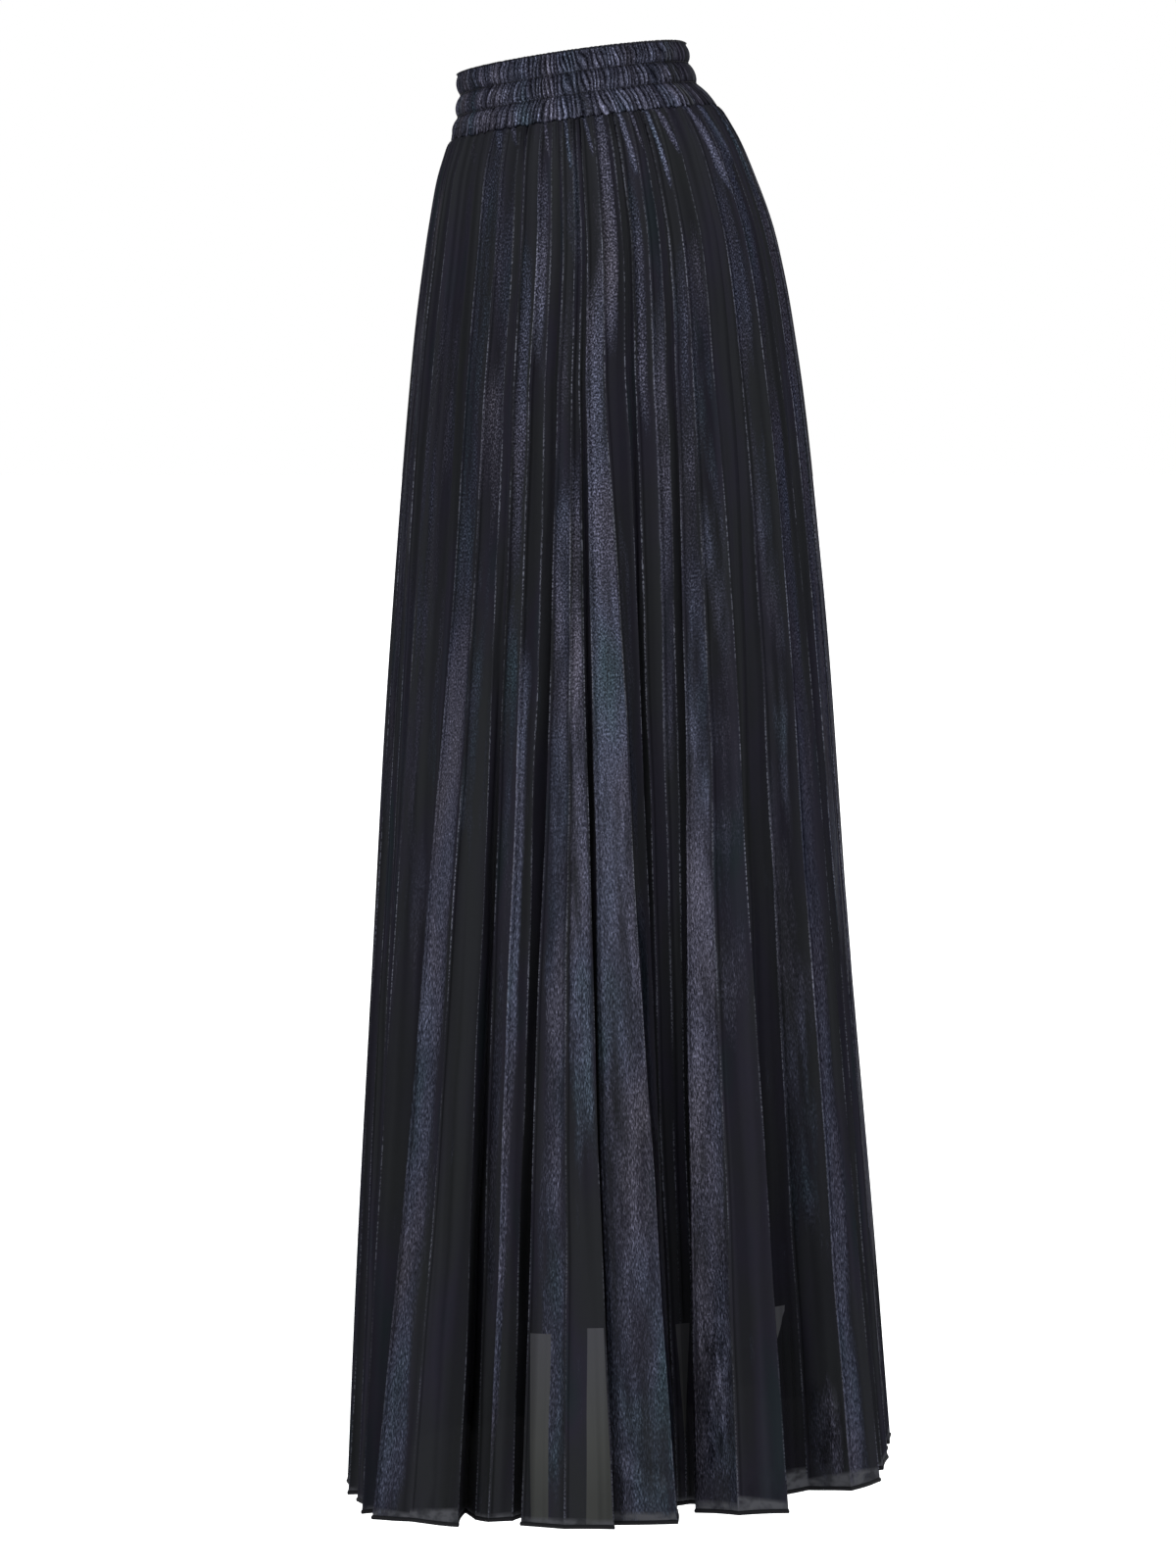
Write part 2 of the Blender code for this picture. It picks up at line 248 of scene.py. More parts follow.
def crease_lines(drops):
    """Every crease at every height. Above the hip it stays near its angle round the ring, and
    its relief grows as the height to the power 0.6. From there it goes over to its place on the
    hem, in step with the height below the hip to the power of its bow. That height starts in a
    soft bend: half of x plus the root of x squared plus BEND squared. Two slow sine waves move
    the crease sideways, and a third outwards."""
    radius = mean_radius(drops)
    above = np.minimum(1, (drops - WAIST_DROP) / (HIP_DROP - WAIST_DROP))[:, None]
    past = (drops - HIP_DROP) / (HEM_DROP - HIP_DROP)
    below = (past + np.sqrt(past**2 + BEND**2)) / 2 - BEND_START
    below = np.maximum(0, below)[:, None] / BEND_SPAN
    sine = np.sin(np.radians(hip))
    angle = np.radians(hip + ANGLE_SPREAD * sine * abs(sine) * (1 - above))
    size = 1 + RELIEF[kind] * (0.03 + 0.97 * above**0.6) / radius
    front, back, side = SKIRT_RINGS[-1, 2:]
    hem_along = (hem_back - (back + front) / 2) / ((back - front) / 2)
    spread = below**bow
    across = size * np.sin(angle) * (1 - spread) + hem_across / side * spread
    along = -size * np.cos(angle) * (1 - spread) + hem_along * spread
    lines = on_rings(SKIRT_RINGS, drops, across, along)
    around = unit(np.roll(lines, -1, axis=1) - np.roll(lines, 1, axis=1))
    fall = -drops[:, None] * CM
    one, other, out = [(np.sin(2 * math.pi * fall * waves + phase) * size)[..., None]
                       for (waves, size), phase in zip(WANDERS, wander_phase)]
    strength = np.minimum(1, fall * 2.2)[..., None] * MM
    return lines + strength * ((one + other) * around + out * outward_of(around))


hem_line = crease_lines(np.array([WAIST_DROP, HEM_DROP]))[1]
print("the hem reaches", np.round(abs(hem_line).max(axis=0), 3), "m from the origin")

# %% [markdown]
# ## From creases to cloth
#
# Between two creases lies a panel. It is almost flat, with a slight belly, and a few long soft
# waves where the cloth doesn't hang quite true. At the crease itself the cloth turns in less
# than a millimetre, and the press leaves a fine raised edge. Each panel is sampled at its two
# turned edges and at places between, and all panels at all heights are worked out at once as
# whole arrays. The result is a grid of points, rows down and columns round.

# %% Panel shapes
TURN = 0.9 * MM  # from a crease to where the panel is flat
PINCH = 0.35 * MM  # how far the pressed edge stands up
PUCKER = 1.7 * MM  # how deep the short puckers under the waist seam are
PUFF = 2.6 * MM  # how far the cloth puffs out there
ACROSS = np.array([0, 0.14, 0.38, 0.62, 0.86, 1.0])  # the places across a panel
# The soft waves down a panel: length in metres, size in millimetres, and lean in half turns.
WAVES = ((0.16, 0.45, 0.3), (0.083, 0.22, 0.9), (0.047, 0.10, 1.4))
# Slanting dents where the hem was handled: the panel, metres below the seam at its first and at
# its second crease, depth in millimetres, and half width in metres.
DENTS = [(19, 0.922, 0.950, 2.4, 0.0065), (27, 0.922, 0.886, 1.8, 0.006),
         (27, 0.948, 0.908, 2.0, 0.006), (31, 0.952, 0.915, 2.0, 0.005),
         (31, 0.925, 0.960, 1.2, 0.004), (36, 0.93, 0.905, 1.6, 0.006),
         (8, 0.955, 0.935, 1.2, 0.005)]

belly_phase = luck.uniform(0, 2 * math.pi, (6, len(creases)))
belly_size = luck.uniform(0.5, 1.0, (6, len(creases)))


def panel_relief(fall, width, run):
    """How far each place stands out from the straight line between its panel's edges. The belly
    is 4 a (1 - a) times a share of the width, and the waves and dents fade to nothing at the
    creases. The puckers die away as the exponential of the height below the waist seam."""
    phases, sizes = belly_phase[:, run[:-1]], belly_size[:, run[:-1]]
    grown = np.minimum(1, fall / 0.25)
    belly = 0.035 * width[..., None] * grown * np.sin(phases[0] + 5.1 * fall[..., 0])[..., None]
    relief = 4 * ACROSS * (1 - ACROSS) * belly
    window = np.sin(math.pi * ACROSS) ** 0.8
    for (length, height, lean), phase, size in zip(WAVES, phases[1:], sizes[1:]):
        wave = np.sin(2 * math.pi * fall / length + lean * math.pi * ACROSS + phase[:, None])
        relief = relief + window * wave * size[:, None] * height * MM * (0.35 + 1.9 * fall)
    for panel, first, second, depth, half in DENTS:
        place = first + (second - first) * ACROSS
        dent = np.exp(-((fall - place) / half) ** 2) * window ** 0.5 * depth * MM
        relief = relief - dent * np.isin(run[:-1], (panel, mirrored(panel)))[:, None]
    near_seam = np.exp(-fall / 0.016) * (1 - np.exp(-fall / 0.002))
    return relief + PUCKER * near_seam * np.sin(3 * math.pi * ACROSS + phases[4][:, None])


def pleated_cloth(drops, run):
    """The points of a run of panels, each point's way along its panel, and the panels' widths.
    A point is on the straight line between the panel's turned edges, moved out by its relief
    and by the puff under the waist seam."""
    lines = crease_lines(drops)
    last, following = np.roll(lines, 1, axis=1), np.roll(lines, -1, axis=1)
    across = unit(following - last)
    groove = (kind == GROOVE)[None, :, None]
    leaves = lines + TURN * np.where(groove, across, unit(following - lines))
    arrives = lines + TURN * np.where(groove, -across, unit(last - lines))
    start, stop = leaves[:, run[:-1]], arrives[:, run[1:]]
    width = np.linalg.norm(stop - start, axis=-1)
    fall = (WAIST_DROP - drops)[:, None, None] * CM
    puff = PUFF * (np.exp(-fall / 0.022) - np.exp(-fall / 0.0022))
    moved_out = (panel_relief(fall, width, run) + puff)[..., None]
    panels = (start[:, :, None] + (stop - start)[:, :, None] * ACROSS[:, None]
              + moved_out * outward_of(stop - start)[:, :, None])

    pressed = lines + (np.where(groove, 0, PINCH) + 0.4 * puff) * outward_of(across)
    pressed = pressed[:, run]
    rows, count = width.shape
    points = np.concatenate([pressed[:, :-1, None], panels], axis=2).reshape(rows, -1, 3)
    points = np.concatenate([points, pressed[:, -1:]], axis=1)
    along = np.concatenate([np.full((rows, count, 1), -TURN),
                            ACROSS * width[..., None], width[..., None] + TURN], axis=2)
    return points, along, width


print("dents:", len(DENTS), "and waves down a panel:", len(WAVES))

# %% Grids become meshes
NO_STRIP = -5.0  # a place across that is far outside any paler strip
FLIPPED = [0, 3, 2, 1]  # a cell's corners the other way round, which turns its face over


def grid_faces(rows, columns, rows_join=False, columns_join=False):
    """Four corners for each cell, in the order that makes the outer side face out. Where rows
    or columns join, the first follows the last."""
    r = np.arange(rows - 1 + rows_join)[:, None]
    c = np.arange(columns - 1 + columns_join)[None, :]
    below, beside = (r + 1) % rows, (c + 1) % columns
    corners = [r * columns + c, below * columns + c, below * columns + beside, r * columns + beside]
    return np.stack(corners, axis=-1).reshape(-1, 4)


def corner_uv(across, down):
    """Places across and down on a grid, as UVs for the corners of each of its cells. The first
    axis goes down, the last goes across, and one between them counts the panels."""
    grid = np.stack(np.broadcast_arrays(across, down), axis=-1)
    return np.stack([grid[:-1, ..., :-1, :], grid[1:, ..., :-1, :],
                     grid[1:, ..., 1:, :], grid[:-1, ..., 1:, :]], axis=-2)


def new_piece(name, points, faces, material, uv, marks=None, caps=(), strip=()):
    """A mesh object from points and quads. uv and strip hold four corners for each face, marks
    are numbers for each point, and caps are rings of points, each closed by one flat face."""
    corners = np.concatenate([faces.ravel(), *caps])
    starts = np.cumsum([0] + [len(cap) for cap in caps])[:len(caps)] + faces.size
    starts = np.concatenate([np.arange(0, faces.size, 4), starts])
    mesh = bpy.data.meshes.new(name)
    mesh.vertices.add(points.size // 3)
    mesh.vertices.foreach_set("co", points.ravel())
    mesh.loops.add(len(corners))
    mesh.loops.foreach_set("vertex_index", corners)
    mesh.polygons.add(len(starts))
    mesh.polygons.foreach_set("loop_start", starts)
    mesh.update(calc_edges=True)
    mesh.polygons.foreach_set("use_smooth", np.arange(len(starts)) < len(faces))
    for layer, places, otherwise in (("cloth", uv, 0.0), ("strip", strip, NO_STRIP)):
        flat = np.full(2 * len(corners), otherwise)
        flat[:np.size(places)] = np.ravel(places)
        mesh.uv_layers.new(name=layer).data.foreach_set("uv", flat)
    for mark, values in (marks or {}).items():
        values = np.broadcast_to(values, points.shape[:-1]).ravel()
        mesh.attributes.new(mark, "FLOAT", "POINT").data.foreach_set("value", values)
    mesh.validate()
    mesh.materials.append(material)
    piece = link_new(name, mesh)
    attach(piece, "root")
    return piece


def thicken(piece, thickness):
    """Gives a sheet its inner side, with Solidify."""
    wall = piece.modifiers.new("cloth thickness", "SOLIDIFY")
    wall.thickness = thickness
    wall.offset = -1


# %% Measures
def way_along(lines):
    """Metres from the start of a line of points to each of them, or down a grid's columns."""
    steps = np.linalg.norm(np.diff(lines, axis=0), axis=-1)
    return np.concatenate([0 * steps[:1], np.cumsum(steps, axis=0)])


def area_of(points, faces):
    """The area of a grid, each quad counted as two triangles."""
    a, b, c, d = (points.reshape(-1, 3)[faces[:, k]] for k in range(4))
    halves = np.cross(b - a, c - a), np.cross(c - a, d - a)
    return float(sum(np.linalg.norm(half, axis=1).sum() / 2 for half in halves))


print("from crease to crease the hem is", round(float(way_along(hem_line)[-1]), 2), "m round")

# %% [markdown]
# ## Where the cloth shines
#
# A metallic thread only flashes where a panel faces the light, and each panel has been pressed and
# has hung a little differently. So every panel has its own stretch, from one height to another, in
# which the metal shows: a painted sheen, put where that panel catches the light. Elsewhere it is
# smooth and matt. Near the hem some panels have a second, folded layer of pleat close behind them
# and look dark, and a few narrow strips have none, so light comes through: those are the paler
# strips below the lining's edge, painted light.

# %% Shine, panel by panel
# For a panel, counted from the centre front: stretches of painted sheen, where the panel catches
# the light, as (from, to, strength), in metres below the waist seam.
SHINES = {
    1: [(0.10, 0.50, 0.5)], 3: [(0.02, 0.40, 0.45)], 4: [(0.30, 0.55, 0.4)],
    5: [(0.12, 0.60, 0.4)], 7: [(-0.1, 0.40, 0.52), (0.34, 0.66, 1.6), (0.60, 0.99, 0.95)],
    8: [(0.02, 0.18, 0.55), (0.14, 0.50, 0.4)],
    11: [(0.10, 0.32, 1.0), (0.30, 0.84, 0.55)], 12: [(0.01, 0.17, 0.8), (0.38, 0.92, 1.15)],
    15: [(0.05, 0.30, 0.48), (0.25, 0.55, 0.88), (0.49, 0.96, 0.78)],
    16: [(0.02, 0.12, 0.6), (0.24, 0.72, 0.88)],
    19: [(0.09, 0.64, 0.88), (0.57, 0.94, 0.76), (0.90, 0.99, 0.70)],
    20: [(-0.02, 0.15, 1.5), (0.30, 0.58, 0.5), (0.53, 0.98, 0.98)],
    23: [(0.05, 0.22, 0.9)], 24: [(0.12, 0.45, 0.62)],
    27: [(0.11, 0.50, 0.62), (0.44, 0.98, 0.90), (0.50, 0.70, 1.12)], 28: [(0.08, 0.64, 0.46)],
    31: [(0.04, 0.20, 0.75), (0.20, 0.60, 0.42), (0.54, 0.80, 0.55), (0.90, 0.975, 0.62)],
    32: [(0.0, 0.16, 1.0), (0.20, 0.64, 0.95), (0.58, 0.99, 1.08)], 35: [(0.0, 0.60, 1.05)],
    36: [(0.02, 0.42, 0.95), (0.36, 0.95, 0.86)], 39: [(0.02, 0.85, 1.0)],
}
# For a panel: the shares of its width between which the shine is full, at the waist and at
# the hem. Outside them it fades.
SHINE_SIDES = {
    7: ((0.0, 1.0), (0.08, 0.55)), 11: ((0.15, 0.8), (0.3, 0.7)), 12: ((0.0, 0.8), (0.0, 0.05)),
    15: ((0.0, 1.0), (0.55, 0.85)), 16: ((0.0, 0.9), (0.35, 0.9)), 19: ((0.0, 1.0), (0.03, 1.1)),
    20: ((0.2, 0.6), (0.0, 0.5)), 23: ((0.2, 0.6), (0.2, 0.6)), 27: ((0.0, 0.9), (0.0, 0.9)),
    28: ((0.0, 0.9), (0.1, 0.8)), 31: ((0.0, 0.6), (0.0, 0.8)), 32: ((0.0, 0.6), (0.0, 0.45)),
    39: ((0.0, 0.7), (0.0, 0.8)),
}
# For a panel: the painted highlight of the pucker under the waist seam, which swings over from the
# panel's first crease to its second. How deep it reaches, in metres, and how bright it is.
PUCKERS = {1: (0.020, 1.4), 7: (0.018, 1.5), 8: (0.014, 1.3), 12: (0.024, 1.8),
           15: (0.032, 2.4), 19: (0.026, 2.0), 23: (0.040, 3.6), 24: (0.026, 2.6),
           27: (0.048, 4.2), 28: (0.030, 3.0), 31: (0.054, 4.4), 32: (0.036, 3.0),
           35: (0.056, 4.0), 36: (0.036, 2.8), 39: (0.046, 2.8)}
SOFT_END, SOFT_SIDE = 0.07, 0.25  # how shine fades: metres down, and shares of the width across
SHIFT = 0.05  # metres that the right side's stretches lie higher or lower
CLOTH_LENGTH = 0.98  # metres from the waist seam to the hem, nearly
# A pucker's painted highlight, and its width.
HOOK_WIDTH = 0.19  # of a bright pucker, as a share of the panel's width


def from_table(table, panel, otherwise):
    """What the table says of a panel, or else of the one that answers to it."""
    return table.get(int(panel), table.get(mirrored(int(panel)), otherwise))


def stretches_of(fall, panel):
    """The strongest of a panel's stretches at each height. The right side has the same ones a
    little higher or lower."""
    shift = 0 if int(panel) in SHINES else SHIFT * math.sin(2.3 * panel)
    painted_sheen = np.zeros(len(fall))
    for first, final, strength in from_table(SHINES, panel, []):
        soft = min(SOFT_END, (final - first) / 2)
        rise = np.clip(0.5 + (fall - first - shift) / soft, 0, 1)
        sink = np.clip(0.5 + (final + shift - fall) / soft, 0, 1)
        painted_sheen = np.maximum(painted_sheen, strength * rise * sink)
    return painted_sheen[:, None]


def shine_of(fall, run):
    """The painted sheen, about 0 to 1 for each row, panel and place across it. A pucker's painted
    highlight adds more: a bell curve across the panel, whose middle moves with the height."""
    painted_sheen = np.zeros((len(fall), len(run) - 1, len(ACROSS)))
    down = np.clip(fall / CLOTH_LENGTH, 0, 1)[:, None]
    for column, panel in enumerate(run[:-1]):
        share = ACROSS[None] if int(panel) in SHINES else 1 - ACROSS[None]
        (a, b), (c, d) = from_table(SHINE_SIDES, panel, ((-1, 2), (-1, 2)))
        side = np.clip(1 + (share - a - (c - a) * down) / SOFT_SIDE, 0, 1)
        side = side * np.clip(1 + (b + (d - b) * down - share) / SOFT_SIDE, 0, 1)
        deep, bright = from_table(PUCKERS, panel, (0.02, 0.5))
        part = np.clip(fall / deep, 0, 1.3)[:, None]
        middle = 0.15 + 0.7 * part**0.6
        hook = np.exp(-((share - middle) / HOOK_WIDTH) ** 2) * np.clip(3 - 2.4 * part, 0, 1)
        painted_sheen[:, column] = np.maximum(stretches_of(fall, panel) * side, bright * hook)
    return painted_sheen


print("panels with shine:", len(SHINES), "of", len(left) - 1)

# %% Paler strips, pale hem and crumples
# For a panel: the strip's two edges at its top, as shares of the width, how far each has moved
# by the hem, and its top in metres below the waist seam.
STRIPS = {15: (0.06, 0.62, 0.16, 0.0, 0.842), 16: (0.54, 0.96, -0.10, 0.02, 0.838),
          30: (0.0, 0.62, 0.0, -1.9, 0.845), 23: (0.5, 1.0, 0.75, 0.0, 0.849),
          24: (0.0, 0.8, 0.0, -1.2, 0.849)}
# For a panel: how many millimetres above the hem the light still comes through, at its first
# and at its second crease. Elsewhere it is four.
PALE_HEM = {3: (5, 5), 4: (5, 4), 7: (7, 5), 8: (8, 12), 11: (4, 4), 12: (4, 5), 15: (5, 6),
            16: (6, 5), 19: (8, 7), 20: (1, 1), 27: (8, 7), 28: (12, 7), 29: (14, 16),
            30: (17, 15), 31: (7, 12), 32: (13, 9), 35: (6, 5), 36: (5, 8), 39: (9, 7)}
# For a panel: where the cloth is crumpled, from and to, and how strongly.
CRUMPLES = {27: (0.84, 0.95, 1.0), 19: (0.93, 0.975, 0.5), 31: (0.90, 0.97, 1.1),
            28: (0.945, 0.98, 0.6), 8: (0.955, 0.98, 0.5), 36: (0.87, 0.95, 0.7)}
NO_CRUMPLE = (2, 3, 0)  # below the hem, and of no strength
HEM_FALL = (WAIST_DROP - HEM_DROP) * CM  # metres from the waist seam to the hem
FAR = 20.0  # millimetres, more than any finish reaches


def pale_of(fall, run):
    """Millimetres from each point to the top of its panel's pale hem, below nought inside."""
    first, second = np.array([from_table(PALE_HEM, p, (4, 4)) for p in run[:-1]]).T
    height = first[:, None] * (1 - ACROSS) + second[:, None] * ACROSS
    return np.minimum((HEM_FALL - fall)[:, None, None] / MM - height[None], FAR)


def crumple_of(fall, run):
    """How crumpled each point is: a soft window down the panel, and less towards its edges."""
    table = np.array([from_table(CRUMPLES, p, NO_CRUMPLE) for p in run[:-1]])
    first, final, strength = table.T[:, None, :, None]
    window = np.clip((fall[:, None, None] - first) / 0.02, 0, 1)
    window = window * np.clip((final - fall[:, None, None]) / 0.02, 0, 1)
    return strength * window * (0.4 + 2.4 * ACROSS * (1 - ACROSS))


def crease_mm(along, width, run):
    """Millimetres from each point to the nearest pressed edge. Grooves don't count: they are
    put a metre away."""
    past_groove = (kind[run] == GROOVE).astype(float)[None, :, None]
    near = past_groove[:, :-1] + along + TURN
    far = past_groove[:, 1:] + width[..., None] + TURN - along
    nearest = np.minimum(near, far)[:, :, :-1]
    flat = nearest.reshape(len(nearest), -1)
    return np.minimum(np.concatenate([flat, far[:, -1:, -1]], axis=1) / MM, FAR)


print("paler strips:", len(STRIPS), "and crumpled places:", len(CRUMPLES))

# %% [markdown]
# ## Materials
#
# The skirt is a sheer cloth with a metallic thread. Facing away from the light it is a smooth matt
# near-black, and only where a panel turns to the light does a fine diagonal crinkle sparkle, blue
# grey. That place is painted: the painted sheen mark turns the cloth to metal and makes it
# brighter. So the crinkle is a bump that the light picks out, and the same pattern makes the metal
# lighter and darker. The finish also paints highlights on the pressed edges and the gathers, shade
# in grooves, between gathers and where pleat layers lie behind, and light through the paler strips
# and the hem. Patterns are measured along each panel in metres, from the cloth's own UV map. Each
# part of the finish is a function of its own, and takes and gives colours.

# %% Node helpers
class Finish:
    """A material and its node tree, with short calls to add and join nodes. They take numbers,
    colours or sockets, and give the socket that holds the result."""

    def __init__(self, name):
        self.material = bpy.data.materials.new(name)
        self.material.use_nodes = True
        self.tree = self.material.node_tree
        self.shader = self.tree.nodes["Principled BSDF"]

    def node(self, type_name, values=None, **settings):
        made = self.tree.nodes.new("ShaderNode" + type_name)
        for key, value in settings.items():
            setattr(made, key, value)
        for key, value in (values or {}).items():
            self.put(value, made.inputs[key])
        return made

    def put(self, value, socket):
        """Joins a socket, or sets a constant on the node's own socket."""
        if isinstance(value, bpy.types.NodeSocket):
            self.tree.links.new(value, socket)
        else:
            socket.default_value = value

    def set(self, **values):
        """The shader's own inputs. In their names, _ stands for a space."""
        for key, value in values.items():
            self.put(value, self.shader.inputs[key.replace("_", " ")])

    def math(self, operation, a, b=0.0, c=0.0):
        made = self.node("Math", operation=operation)
        for value, socket in zip((a, b, c), made.inputs):
            self.put(value, socket)
        return made.outputs[0]

    def times(self, first, *others):
        """The product of numbers."""
        for other in others:
            first = self.math("MULTIPLY", first, other)
        return first

    def tint(self, colour, *others):
        """The product of colours, channel by channel."""
        for other in others:
            made = self.node("VectorMath", {0: colour, 1: other}, operation="MULTIPLY")
            colour = made.outputs[0]
        return colour

    def ramp(self, value, *stops):
        """A number or colour read off between stops, each a place and what stands there."""
        made = self.node("ValToRGB", {"Fac": value})
        elements = made.color_ramp.elements
        while len(elements) < len(stops):
            elements.new(0.5)
        for element, (place, colour) in zip(elements, stops):
            element.position = place
            element.color = (*colour, 1) if isinstance(colour, tuple) else (colour,) * 3 + (1,)
        return made.outputs["Color"]

    def noise(self, place, scale, detail):
        values = {"Vector": place, "Scale": scale, "Detail": detail}
        return self.node("TexNoise", values).outputs["Fac"]

    def patches(self, place, across, down, detail=2.0, turn=0):
        """Noise stretched over the cloth, with so many patches a metre across and down."""
        values = {"Vector": place, "Rotation": (0, 0, math.radians(turn)),
                  "Scale": (across, down, 1)}
        return self.noise(self.node("Mapping", values).outputs["Vector"], 1.0, detail)

    def uv(self, name):
        return self.node("UVMap", uv_map=name).outputs["UV"]

    def mark(self, name):
        """A number that the mesh holds for each point."""
        return self.node("Attribute", attribute_name=name).outputs["Fac"]

    def mix(self, share, a, b, data_type="FLOAT"):
        """From a to b: two numbers, or two colours if the data type is RGBA."""
        made = self.node("Mix", data_type=data_type)
        first, result = (2, 0) if data_type == "FLOAT" else (6, 2)
        for value, socket in ((share, 0), (a, first), (b, first + 1)):
            self.put((*value, 1) if isinstance(value, tuple) else value, made.inputs[socket])
        return made.outputs[result]

    def blend(self, share, a, b):
        return self.mix(share, a, b, "RGBA")


print("node helpers:", len(vars(Finish)))

# %% The crinkle and the metal
DASH_PITCH, DASH_LENGTH = 0.0010, 0.0036  # metres


def crinkle(finish, place, down):
    """Fine grain at the hip, which opens towards the hem into short dashes at plus and minus 45
    degrees. They change places in small patches, as in a herringbone, and each is a noise
    stretched along its own diagonal."""
    grain = finish.patches(place, 900, 620, 1.0)
    opened = finish.ramp(down, (0.28, 0.0), (0.62, 1.0))
    one, other = (finish.patches(place, 1 / DASH_PITCH, 1 / DASH_LENGTH, 1.0, turn)
                  for turn in (45, -45))
    patch = finish.noise(place, 1 / (1.6 * DASH_LENGTH), 1.0)
    dashes = finish.mix(finish.ramp(patch, (0.47, 0.0), (0.53, 1.0)), one, other)
    return finish.mix(opened, grain, finish.math("MULTIPLY_ADD", dashes, 0.75, 0.125))


def shine_level(finish, place):
    """The painted sheen mark, broken up by slow streaks and clouds."""
    level = finish.mark("painted_sheen")
    for across, down, strength in ((120, 12, 1.5), (40, 11, 0.7)):
        uneven = finish.math("SUBTRACT", finish.patches(place, across, down), 0.5)
        level = finish.math("MULTIPLY_ADD", uneven, strength, level)
    return level


def cloth_and_metal(finish, place, down, layer_shade, metal, level, dashes):
    """The smooth matt cloth, paler under the waist seam and made darker or lighter by the painted
    layer shade, and the metal, which the crinkle makes lighter and darker and the painted sheen
    level makes brighter. Each has a few neighbouring hues."""
    matt = finish.ramp(finish.patches(place, 26, 7),
                       (0.30, (0.0187, 0.0197, 0.0212)), (0.47, (0.0187, 0.0191, 0.0226)),
                       (0.60, (0.0193, 0.0182, 0.0262)), (0.72, (0.0155, 0.0196, 0.0238)))
    matt = finish.tint(matt, layer_shade, finish.ramp(down, (0.0, 1.22), (0.14, 1.0)))
    foil = finish.ramp(finish.patches(place, 22, 6),
                       (0.30, (0.045, 0.064, 0.082)), (0.42, (0.057, 0.063, 0.093)),
                       (0.55, (0.064, 0.064, 0.091)), (0.72, (0.071, 0.067, 0.086)))
    spark = finish.ramp(dashes, (0.36, 0.30), (0.50, 0.78), (0.60, 1.55), (0.70, 3.0))
    # Painted sheen: the metal's colour is brighter where the sheen level is high.
    painted_sheen_brightness = finish.math("MULTIPLY_ADD", level, 0.55, 0.33)
    return finish.blend(metal, matt, finish.tint(foil, spark, painted_sheen_brightness))


print("dashes of", DASH_LENGTH, "m")


# %% Gathers, shade, lit edges and crumples
# The colour of the painted highlight on the pressed edges.
EDGE_HIGHLIGHT_COLOUR = (0.23, 0.24, 0.30)
# The colour of the painted light that comes through the hem.
PALE_HEM_COLOUR = (0.074, 0.075, 0.083)
CRUMPLE_DEPTH = 1.8 * MM


def gathers(finish, place, colour):
    """The band's gathers: a painted highlight on their ridges, broken up in places, and painted
    shade in the valleys between them.
    """
    ridge = finish.ramp(finish.mark("ridge"), (0.20, 0.35), (0.58, 0.90), (0.80, 1.68),
                        (0.96, 3.1))
    broken = finish.ramp(finish.patches(place, 330, 210, 1.0, 12),
                         (0.36, 0.76), (0.52, 1.0), (0.66, 1.22))
    return finish.tint(colour, ridge, broken)


def shaded(finish, colour):
    """Darker in the lee of a panel's first crease, and where a groove lies deep inside."""
    lee = finish.ramp(finish.math("DIVIDE", finish.mark("lee_mm"), 5.0),
                      (0.10, 1.0), (0.20, 0.55), (0.38, 0.68), (0.58, 1.0))
    return finish.tint(colour, lee, finish.ramp(finish.mark("deep"), (0.0, 1.0), (1.0, 0.50)))


def lit_edges(finish, place, down, colour, strength):
    """A painted highlight: a fine pale line along each pressed edge, in dots and broken runs,
    weaker near the waist and lower down.
    """
    line = finish.ramp(finish.math("DIVIDE", finish.mark("edge_mm"), 2.0), (0.12, 1.0),
                       (0.42, 0.0))
    dots = finish.ramp(finish.noise(place, 620.0, 0.0), (0.40, 0.05), (0.62, 1.0))
    runs = finish.ramp(finish.patches(place, 20, 14), (0.43, 0.04), (0.68, 1.0))
    # The painted highlight's strength at each height: weaker near the waist and lower down.
    highlight_by_height = finish.ramp(down, (0.0, 0.25), (0.10, 1.0), (0.45, 1.0), (0.85, 0.5))
    return finish.blend(finish.times(line, dots, runs, highlight_by_height, strength), colour, EDGE_HIGHLIGHT_COLOUR)


def crumples(finish, place, colour):
    """Slanting folds pressed in near the hem: the colour, with painted light and shade along the
    folds, and their height for the bump.
    """
    crumple = finish.patches(place, 120, 30, 1.2, 38)
    folds = finish.ramp(crumple, (0.34, 0.45), (0.46, 0.85), (0.60, 1.1), (0.70, 2.0))
    folded = finish.math("MINIMUM", finish.mark("crumple"), 1.0)
    colour = finish.tint(colour, finish.blend(folded, (1.0, 1.0, 1.0), folds))
    return colour, finish.times(crumple, folded)


def light_through(finish, place, colour, layer_shade):
    """The paler strips, where one layer hangs alone, and the pale hem, both painted light that
    comes through: the colour, and a number that is nought there."""
    across, fall, _ = finish.node("SeparateXYZ", {0: finish.uv("strip")}).outputs
    single = finish.times(finish.math("COMPARE", across, 0.5, 0.5),
                          finish.math("GREATER_THAN", fall, 0.0))
    behind = finish.ramp(fall, (0.0, (0.056, 0.056, 0.062)), (0.08, (0.052, 0.053, 0.051)),
                         (0.12, (0.043, 0.044, 0.042)))
    colour = finish.blend(single, colour, finish.tint(behind, layer_shade))
    above = finish.math("MULTIPLY_ADD", finish.mark("pale"), -0.3, 0.5)
    patchy = finish.ramp(finish.patches(place, 90, 130, 2.0, 20), (0.36, 0.25), (0.58, 1.0))
    hem = finish.times(finish.ramp(above, (0.0, 0.0), (1.0, 1.0)), patchy)
    colour = finish.blend(hem, colour, PALE_HEM_COLOUR)
    return colour, finish.math("SUBTRACT", 1.0, finish.math("MAXIMUM", single, hem))


